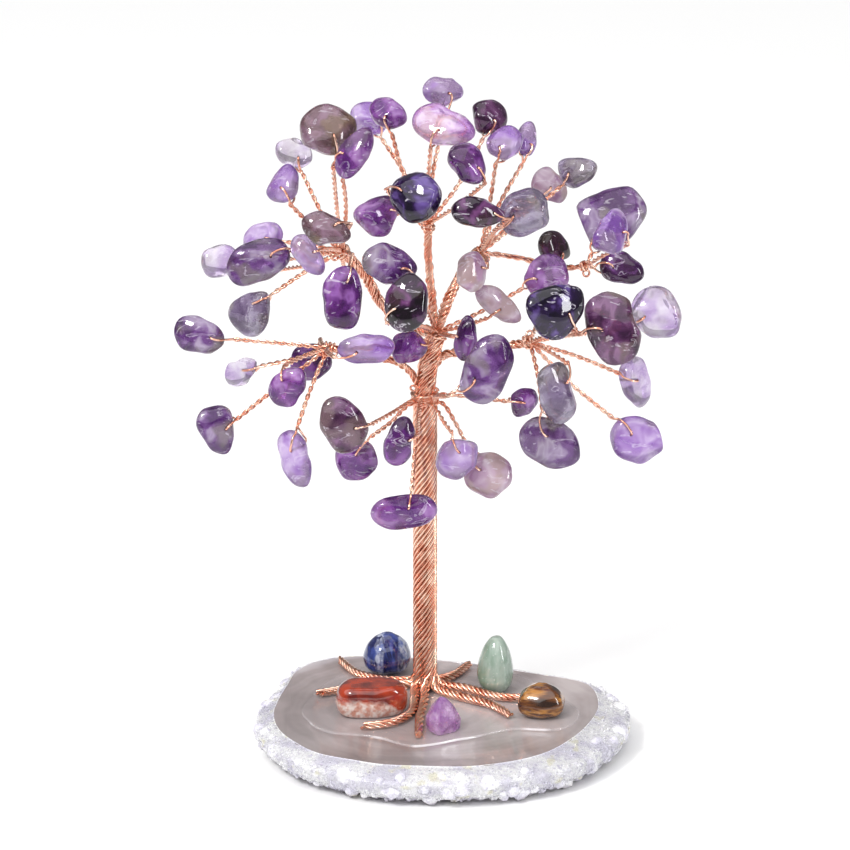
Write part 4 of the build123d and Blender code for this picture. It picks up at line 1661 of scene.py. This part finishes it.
@dataclass
class Crown:
    """The chips and their wires."""

    binding_shares: Share = (0.75, 0.25)
    entry_reach: float = 1.4
    exit_reach: float = 3.9

    def way_out(self, limb: str, chip: Chip, number: int, ends: dict[str, Vector]) -> list[Vector]:
        """The start of a chip's wire.

        Args:
            limb: The limb that carries it.
            chip: The chip.
            number: Its place in the limb's table.
            ends: Where each limb ends.

        Returns:
            The wire's first points, from the limb outwards.
        """
        if limb != "crotch":
            return [ends[limb]]
        middle = Vector((0, 0, BINDING_BOTTOM + self.binding_shares[number % 2] * BINDING_HEIGHT))
        outward = crown_point(chip.across, chip.down, chip.depth) - middle
        flat = Vector((outward.x, outward.y, 0)).normalized()
        return [middle + flat * self.entry_reach, middle + flat * self.exit_reach]

    def build(self, copper: bpy.types.Material, ends: dict[str, Vector]) -> None:
        """Makes all chips and wires, limb by limb.

        Args:
            copper: The wires' material.
            ends: Where each limb ends.
        """
        tints = {tint.name: AmethystFinish(tint).material() for tint in Tint}
        seed = 0
        for limb, chips in CHIPS.items():
            used = sorted({chip.tint.name for chip in chips})
            stones, numbers, lines = [], [], []
            for number, chip in enumerate(chips):
                seed += 1
                entry = ChipOnWire(chip, seed, self.way_out(limb, chip, number, ends))
                stones.append(entry.stone())
                numbers.append(used.index(chip.tint.name))
                lines.append(entry.wire())
            short = limb.replace("_limb", "")
            joined = Workshop.joined(stones, numbers)
            made = Workshop.piece(f"{short}_chips", joined, [tints[name] for name in used])
            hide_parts(f"chips_{short}")
            twigs = Workshop.copper(f"{short}_chip_wires", Workshop.wires(lines, WIRE_RADIUS), copper)
            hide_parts(f"chip_wires_{short}")


class Ground(NamedTuple):
    """A place on the slice's wall where crystals can grow."""

    spot: Vector
    outward: Vector
    share: float


@dataclass
class AgateSlice:
    """The slice: its polished face, its sugary rim and the crystals that stand on it."""

    around: int = 420
    rows: int = 24
    top_share: float = 0.30
    wall_share: float = 0.85
    crystals: int = 1700
    crystal_size: Share = (0.5, 1.5)
    clusters: int = 130
    cluster_size: Share = (0.8, 2.3)
    front: float = -45.9
    undercut: float = 4.6
    outline_keep: float = 0.985
    face_depth: float = 1.2
    bead_radius: float = 0.17

    def outlines(self) -> tuple[list[Vector], list[Vector]]:
        """The rim's outer line and the polished face's edge.

        Returns:
            Both lines as evenly numbered points at height 0.
        """
        outer_knots = [slice_point(share, 0) for share in SLICE_OUTLINE]
        middle = middle_of(outer_knots)
        outer_knots = [middle + (point - middle) * self.outline_keep for point in outer_knots]
        inner_knots = [
            point + (middle - point).normalized() * width for point, width in zip(outer_knots, RIM_WIDTHS)
        ]
        lines = []
        for knots in (outer_knots, inner_knots):
            dense = Line.through(knots, 0.25, closed=True).points
            lines.append([dense[int(i * len(dense) / self.around)] for i in range(self.around)])
        return lines[0], lines[1]

    def face(self, inner: list[Vector], middle: Vector) -> bpy.types.Mesh:
        """The polished face, with a fine step at its edge.

        Args:
            inner: The line of its edge.
            middle: The slice's middle.

        Returns:
            Its mesh, in metres.
        """
        face = bmesh.new()
        edge = []
        for index, point in enumerate(inner):
            fine = noise.noise(Vector((index * 0.35, 0.5, 2.0)))
            broad = noise.noise(Vector((index * 0.08, 7.5, 2.0)))
            flat = point + (middle - point).normalized() * (0.25 * fine + 0.3 * broad)
            edge.append(face.verts.new((flat.x, flat.y, SLICE_TOP - self.face_depth)))
        rims = [face.edges.new((a, b)) for a, b in zip(edge, edge[1:] + edge[:1])]
        grown = bmesh.ops.extrude_edge_only(face, edges=rims)["geom"]
        top = [item for item in grown if isinstance(item, bmesh.types.BMVert)]
        bmesh.ops.translate(face, verts=top, vec=(0, 0, self.face_depth))
        brim = [item for item in grown if isinstance(item, bmesh.types.BMEdge)]
        lid = bmesh.ops.contextual_create(face, geom=brim)["faces"]
        bmesh.ops.inset_region(face, faces=lid, thickness=0.25, depth=0.0)
        for vertex in top:
            vertex.co.z -= 0.12
        bmesh.ops.recalc_face_normals(face, faces=face.faces)
        return Workshop.mesh(face, smooth=True, sharp=30)

    def wall_place(self, share: float, out: Vector, into: Vector, outward: Vector) -> tuple[Vector, float]:
        """A place of the smooth wall, before it is roughened.

        Args:
            share: How far down the wall it is, from 0 at the polished face to 1 at the underside.
            out: The rim's outer line there.
            into: The polished face's edge there.
            outward: The way out from the slice's middle.

        Returns:
            The place at height 0, and its height.
        """
        if share < self.top_share:
            climb = share / self.top_share
            return into.lerp(out, climb), SLICE_TOP - 0.15 - 1.5 * climb**1.7
        if share < self.wall_share:
            fall = (share - self.top_share) / (self.wall_share - self.top_share)
            height = (SLICE_TOP - 1.65) * (1 - fall) + 0.35 * fall
            return out - outward * self.undercut * fall**3, height
        under = (share - self.wall_share) / (1 - self.wall_share)
        return out - outward * (self.undercut + 2.0 * under), 0.35 * (1 - under) ** 2

    def wall(
        self, outer: list[Vector], inner: list[Vector], middle: Vector,
    ) -> tuple[bpy.types.Mesh, list[Ground]]:
        """The rough wall from the polished face's edge to the underside.

        Args:
            outer: The rim's outer line.
            inner: The polished face's edge.
            middle: The slice's middle.

        Returns:
            Its mesh, in metres, and the places where crystals can grow.
        """
        rim = bmesh.new()
        bmesh.ops.create_grid(rim, x_segments=self.around, y_segments=self.rows, size=1.0)
        ground = []
        for vertex in rim.verts:
            column = round((vertex.co.x + 1) / 2 * self.around) % self.around
            share = (vertex.co.y + 1) / 2
            outward = (outer[column] - middle).normalized()
            base, height = self.wall_place(share, outer[column], inner[column], outward)
            lump = noise.voronoi(Vector((base.x, base.y, height * 1.3)) / 2.6)[0][0]
            grain = noise.noise(Vector((base.x, base.y, height)) * 1.6)
            swell = 0.75 * (0.55 - lump) + 0.28 * grain - 0.28
            facing = outward * (1 if share > 0.25 else share / 0.25)
            lift = 0.10 * (0.5 - lump) if 0.02 < share < self.top_share else 0.0
            spot = base + facing * swell * (0 if share < 0.02 else 1) + Vector((0, 0, lift))
            vertex.co = spot + Vector((0, 0, height))
            vertex.co.z = max(vertex.co.z, 0.0)
            if 0.06 < share < 0.86:
                ground.append(Ground(vertex.co.copy(), outward, share))
        bmesh.ops.remove_doubles(rim, verts=rim.verts, dist=0.004)
        foot = [edge for edge in rim.edges if edge.is_boundary and max(v.co.z for v in edge.verts) < 1.0]
        bmesh.ops.holes_fill(rim, edges=foot, sides=0)
        bmesh.ops.recalc_face_normals(rim, faces=rim.faces)
        return Workshop.mesh(rim, smooth=True), ground

    def kept_in(self, bm: bmesh.types.BMesh) -> bpy.types.Mesh:
        """Crystals that keep inside the slice's size.

        Args:
            bm: The crystals, which are used up.

        Returns:
            Their mesh, in metres.
        """
        for vertex in bm.verts:
            vertex.co.z = clamped(vertex.co.z, 0.05, SLICE_TOP + 0.1)
            vertex.co.y = max(vertex.co.y, self.front)
        return Workshop.mesh(bm, smooth=False)

    def points(self, ground: list[Ground], chance: random.Random) -> bpy.types.Mesh:
        """The small pointed crystals.

        Args:
            ground: Where they can grow.
            chance: Where their places, sizes and leans come from.

        Returns:
            Their mesh, in metres.
        """
        points = bmesh.new()
        for _ in range(self.crystals):
            spot, outward, share = chance.choice(ground)
            size = chance.uniform(*self.crystal_size)
            lean = Vector((chance.uniform(-0.7, 0.7), chance.uniform(-0.7, 0.7), chance.uniform(-0.5, 0.7)))
            up = 0.9 if share < 0.26 else 0.15
            aim = (outward * (1 - up * 0.6) + Vector((0, 0, up)) + lean * 0.7).normalized()
            turn = aim.to_track_quat("Z", "Y").to_matrix().to_4x4()
            spin = Matrix.Rotation(chance.uniform(0, 6), 4, "Z")
            put = Matrix.Translation(spot - aim * size * 0.15) @ turn @ spin
            bmesh.ops.create_cone(
                points, cap_ends=True, segments=6, radius1=size * 0.42, radius2=size * 0.05,
                depth=size * 0.9, matrix=put,
            )
        return self.kept_in(points)

    def knobs(self, ground: list[Ground], chance: random.Random) -> bpy.types.Mesh:
        """The round clusters of crystals.

        Args:
            ground: Where they can grow.
            chance: Where their places, sizes and forms come from.

        Returns:
            Their mesh, in metres.
        """
        balls = bmesh.new()
        upright = [place for place in ground if 0.2 < place.share < 0.74]
        for _ in range(self.clusters):
            place = chance.choice(upright)
            size = chance.uniform(*self.cluster_size)
            spot = place.spot.copy()
            spot.z = clamped(spot.z, size, SLICE_TOP - size)
            before = len(balls.verts)
            bmesh.ops.create_icosphere(balls, subdivisions=2, radius=1.0)
            balls.verts.ensure_lookup_table()
            shift = Vector((chance.uniform(0, 50), chance.uniform(0, 50), chance.uniform(0, 50)))
            for vertex in balls.verts[before:]:
                way = vertex.co.copy()
                cell = noise.voronoi(way * 3.2 + shift)[0]
                lump = 0.84 + 0.35 * (cell[1] - cell[0])
                vertex.co = spot - place.outward * size * 0.62 + way * size * lump
        return self.kept_in(balls)

    def build(self) -> None:
        """Makes the slice's pieces."""
        outer, inner = self.outlines()
        middle = middle_of(outer)
        plate = Workshop.piece("agate_face", self.face(inner, middle), [AgateFinish().material()])
        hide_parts("agate_slice")
        wall, ground = self.wall(outer, inner, middle)
        chance = random.Random(3)
        spikes, knobs = self.points(ground, chance), self.knobs(ground, chance)
        line = [point + Vector((0, 0, SLICE_TOP - 0.14)) for point in inner]
        bead = Workshop.wires([Line([*line, line[0]])], self.bead_radius)
        finishes = (
            DruseFinish(),
            DruseFinish("clear_quartz_points", 0.3),
            DruseFinish("white_quartz_clusters", 0.15),
        )
        joined = Workshop.joined([wall, spikes, knobs, bead], [0, 1, 2, 2])
        made = Workshop.piece("agate_crystal_rim", joined, [finish.material() for finish in finishes])
        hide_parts("agate_slice")


@dataclass
class ResinPool:
    """The clear resin that glues the roots and stones down."""

    first_rise: float = 0.22
    steps: tuple[Share, ...] = ((0.16, 0.20), (0.22, 0.12), (0.30, 0.04))

    def build(self) -> None:
        """Makes the pool."""
        line = Line.through([slice_point(share) for share in RESIN_OUTLINE], 0.4, closed=True).points
        middle = middle_of(line)
        pool = bmesh.new()
        ring = []
        for index, point in enumerate(line):
            wave = 0.5 * noise.noise(Vector((index * 0.09, 1.5, 0.2))) - 0.5
            flat = point - (point - middle).normalized() * (0.2 - wave * 0.6)
            ring.append(pool.verts.new((flat.x, flat.y, SLICE_TOP + 0.01)))
        floor = pool.faces.new(ring)
        grown = bmesh.ops.extrude_face_region(pool, geom=[floor])["geom"]
        lid = [item for item in grown if isinstance(item, bmesh.types.BMFace)]
        corners = [item for item in grown if isinstance(item, bmesh.types.BMVert)]
        bmesh.ops.translate(pool, verts=corners, vec=(0, 0, self.first_rise))
        for face in lid:
            if face.normal.z < 0:
                bmesh.ops.reverse_faces(pool, faces=[face])
        for thickness, depth in self.steps:
            bmesh.ops.inset_region(pool, faces=lid, thickness=thickness, depth=depth)
        bmesh.ops.holes_fill(pool, edges=[edge for edge in pool.edges if edge.is_boundary], sides=0)
        bmesh.ops.recalc_face_normals(pool, faces=pool.faces)
        top = max(pool.faces, key=lambda face: face.calc_center_median().z)
        if top.normal.z < 0:
            bmesh.ops.reverse_faces(pool, faces=pool.faces)
        cast = Workshop.mesh(pool, smooth=True, sharp=60)
        made = Workshop.piece("resin_pool_cast", cast, [ResinFinish().material()])
        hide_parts("resin_pool")


@dataclass
class BaseStone:
    """One of the stones on the slice."""

    name: str
    share: Share
    length: float
    width: float
    height: float
    turn: float
    form: Form
    levels: tuple[Share, ...]
    finish: Finish
    seed: int
    crispness: float = 4.0
    wear: int = 7
    fullness: float = 1.07
    level_steps: int = 40
    search_steps: int = 22

    def profile(self, level: float) -> float:
        """The share of the outline at a share of the height.

        Args:
            level: 0 at the foot, 1 at the top.

        Returns:
            The outline's share, smoothed between the levels.
        """
        for (low, a), (high, b) in zip(self.levels, self.levels[1:]):
            if level <= high:
                return a + (b - a) * max(level - low, 0) / (high - low)
        return self.levels[-1][1]

    def soft_levels(self) -> list[float]:
        """The profile with its corners worn.

        Returns:
            The outline's share at each step of the height.
        """
        steps = self.level_steps
        soft = []
        for i in range(steps + 1):
            soft.append(sum(self.profile(clamped((i + k) / steps, 0.0, 1.0)) for k in range(-3, 4)) / 7)
        return soft

    def surface_reach(self, way: Vector, reach: float, levels: list[float]) -> float:
        """How far the polished surface is from the stone's middle, found by halving.

        Args:
            way: The direction from the middle.
            reach: The outline's reach on that side.
            levels: The outline's share at each step of the height.

        Returns:
            The distance in millimetres.
        """
        inside, outside = 0.0, self.length + self.height
        for _ in range(self.search_steps):
            length = (inside + outside) / 2
            level = 0.5 + way.z * length / self.height
            if not 0 < level < 1:
                outside = length
                continue
            ring = math.hypot(way.x, way.y) * length / (reach * sampled(levels, level * self.level_steps))
            if ring**self.crispness + abs(2 * level - 1) ** self.crispness < 1:
                inside = length
            else:
                outside = length
        return inside

    def rounded(self) -> bmesh.types.BMesh:
        """A polished stone: each ray from its middle ends on its outline and its profile, both worn round.

        Returns:
            The stone, standing on height 0, in millimetres.
        """
        shape = TumbledStone(self.form, self.length, self.width, self.height, self.seed)
        reaches = shape.soft_reaches(self.wear)
        levels = self.soft_levels()
        shift = Vector((self.seed * 0.37, 2.0, 1.0))
        bm = bmesh.new()
        bmesh.ops.create_icosphere(bm, subdivisions=5, radius=1.0)
        for vertex in bm.verts:
            way = vertex.co.normalized()
            reach = sampled(reaches, shape.ray(math.atan2(way.y, way.x)))
            worn = self.fullness - 0.02 * (1 + noise.noise(vertex.co * 1.8 + shift))
            spot = way * self.surface_reach(way, reach, levels) * worn
            vertex.co = Vector((spot.x, spot.y, clamped(spot.z, -self.height / 2, self.height / 2)))
            vertex.co.z += self.height / 2
        Workshop.smooth(bm, 0.5)
        return bm

    def broken(self) -> bmesh.types.BMesh:
        """A rough crystal with flat broken faces.

        Returns:
            The crystal, standing on height 0, in millimetres.
        """
        chance = random.Random(self.seed)
        bm = bmesh.new()
        for level, share in self.levels:
            for x, y in self.form.value:
                jitter = chance.uniform(0.84, 1.0)
                point = Vector((x * self.length * share * jitter, y * self.width * share * jitter, 0))
                rise = clamped(level + chance.uniform(-0.06, 0.06), 0.0, 1.0)
                point.z = rise * self.height * (1 if level < 1 else chance.uniform(0.86, 0.99))
                bm.verts.new(point)
        hull = bmesh.ops.convex_hull(bm, input=bm.verts)
        loose = [item for item in hull["geom_interior"] if isinstance(item, bmesh.types.BMVert)]
        bmesh.ops.delete(bm, geom=loose, context="VERTS")
        bmesh.ops.bevel(
            bm, geom=bm.edges[:], offset=0.16, offset_type="OFFSET", segments=2, profile=0.5,
            affect="EDGES", material=-1,
        )
        bmesh.ops.recalc_face_normals(bm, faces=bm.faces)
        return bm

    def build(self) -> None:
        """Makes the stone and its material."""
        rough = self.name == "rough_amethyst_stone"
        bm = self.broken() if rough else self.rounded()
        turn = Matrix.Rotation(math.radians(self.turn), 4, "Z")
        bm.transform(Matrix.Translation(slice_point(self.share)) @ turn)
        mesh = Workshop.mesh(bm, smooth=True, sharp=22 if rough else 0)
        made = Workshop.piece(f"{self.name}_shaped", mesh, [self.finish.material()])
        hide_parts(self.name)


DOME = ((0.0, 0.62), (0.16, 0.90), (0.42, 1.00), (0.72, 0.82), (0.92, 0.50), (1.0, 0.22))
SLAB = ((0.0, 0.90), (0.30, 1.00), (0.72, 0.98), (0.92, 0.90), (1.0, 0.76))
CONE = ((0.0, 0.82), (0.10, 1.00), (0.30, 1.02), (0.62, 0.88), (0.88, 0.62), (1.0, 0.46))
ROUGH = ((0.0, 0.94), (0.35, 1.00), (0.70, 0.62), (1.0, 0.20))

BASE_STONES = (
    BaseStone(
        "sodalite_stone", (-0.101, 0.135), 10.4, 9.4, 8.6, 10, Form.OVAL, DOME, SodaliteFinish(), 101,
    ),
    BaseStone(
        "carnelian_stone", (-0.140, -0.190), 14.2, 8.6, 6.2, 4, Form.BLOCK, SLAB, CarnelianFinish(), 102,
        crispness=9.0, wear=4,
    ),
    BaseStone(
        "rough_amethyst_stone", (0.047, -0.330), 7.4, 6.4, 7.6, 20, Form.WEDGE, ROUGH, RoughAmethystFinish(),
        103,
    ),
    BaseStone(
        "aventurine_stone", (0.190, -0.012), 8.0, 7.6, 11.6, 60, Form.EGG, CONE, AventurineFinish(), 104,
        crispness=3.2,
    ),
    BaseStone(
        "tiger_eye_stone", (0.304, -0.215), 9.4, 8.2, 6.6, -12, Form.BLOCK, DOME, TigerEyeFinish(), 105,
        crispness=5.0, wear=3,
    ),
)


@dataclass
class Studio:
    """The pale floor, the soft light and the camera at the photograph's angle."""

    floor_size: float = 8.0
    floor_tone: Shade = (250, 250, 250)
    lens: float = 148.2
    world_strength: float = 0.26
    sky_strength: float = 2.5
    sky_spread: float = 95.0
    sky_turn: Share = (16.0, -12.0)
    aim_height: float = 0.07

    def light(self, name: str, spot: Spot, size: Share, power: float, tone: Shade) -> None:
        """A soft rectangular lamp aimed at the tree.

        Args:
            name: Its name.
            spot: Its place, in metres.
            size: Its width and height, in metres.
            power: Its power in watts.
            tone: Its colour.
        """
        data = bpy.data.lights.new(name, "AREA")
        data.shape = "RECTANGLE"
        data.size, data.size_y = size
        data.energy = power
        data.color = tone
        lamp = bpy.data.objects.new(name, data)
        lamp.location = spot
        toward = Vector((0, 0, self.aim_height)) - Vector(spot)
        lamp.rotation_euler = toward.to_track_quat("-Z", "Y").to_euler()
        bpy.context.scene.collection.objects.link(lamp)

    def floor(self) -> None:
        """Lays the pale floor."""
        floor = bmesh.new()
        bmesh.ops.create_grid(floor, x_segments=1, y_segments=1, size=self.floor_size / 2)
        mesh = bpy.data.meshes.new("floor")
        floor.to_mesh(mesh)
        floor.free()
        paint = Shader("pale_floor", Roughness=0.6)
        paint.surface.inputs["Base Color"].default_value = colour(*self.floor_tone)
        mesh.materials.append(paint.material)
        plane = bpy.data.objects.new("floor", mesh)
        bpy.context.scene.collection.objects.link(plane)

    def lights(self) -> None:
        """Sets the white surroundings, the soft sky and the two lamps."""
        world = bpy.data.worlds.new("studio")
        world.use_nodes = True
        background = world.node_tree.nodes["Background"]
        background.inputs["Color"].default_value = (1.0, 1.0, 1.0, 1.0)
        background.inputs["Strength"].default_value = self.world_strength
        bpy.context.scene.world = world
        sky = bpy.data.lights.new("sky", "SUN")
        sky.energy = self.sky_strength
        sky.angle = math.radians(self.sky_spread)
        holder = bpy.data.objects.new("sky", sky)
        holder.rotation_euler = (*(math.radians(turn) for turn in self.sky_turn), 0)
        bpy.context.scene.collection.objects.link(holder)
        self.light("key", (-0.45, -0.55, 0.75), (0.20, 0.20), 4.6, (1.0, 0.99, 0.97))
        self.light("fill", (0.60, -0.40, 0.35), (0.08, 0.40), 1.5, (0.98, 0.99, 1.0))

    def build(self) -> None:
        """Sets the scene."""
        scene = bpy.context.scene
        scene.view_settings.view_transform = "Standard"
        self.floor()
        self.lights()
        camera = bpy.data.cameras.new("camera")
        camera.lens = self.lens
        camera.sensor_width = 36.0
        camera.clip_start = 0.01
        holder = bpy.data.objects.new("camera", camera)
        aim = Vector((0, 0, VIEW_AIM * MM))
        back = Vector((0, -math.cos(VIEW_TILT), math.sin(VIEW_TILT)))
        holder.location = aim + back * VIEW_DISTANCE * MM
        holder.rotation_euler = (-back).to_track_quat("-Z", "Y").to_euler()
        scene.collection.objects.link(holder)
        scene.camera = holder


def main() -> None:
    """Builds the ornament, piece by piece, logging each piece's face count."""
    logging.basicConfig(level=logging.INFO)
    Studio().build()
    copper = CopperFinish().material()
    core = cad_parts["trunk_core"]
    core.data.materials.clear()
    # Painted shade: the trunk's core, seen in the grooves between the laid strands, gets a darker copy of the
    # copper
    shaded = CopperFinish(rose=(170, 92, 68), bright=(196, 120, 92))
    core.data.materials.append(shaded.material("copper_core"))
    AgateSlice().build()
    ResinPool().build()
    for stone in BASE_STONES:
        stone.build()
    Trunk().build(copper)
    CrotchBinding().build(copper)
    ends = {}
    for name, (spots, chips) in LIMBS.items():
        limb = Limb(name, spots, chips)
        limb.build(copper)
        ends[name] = limb.end()
    Crown().build(copper, ends)


if __name__ == "__main__":
    main()
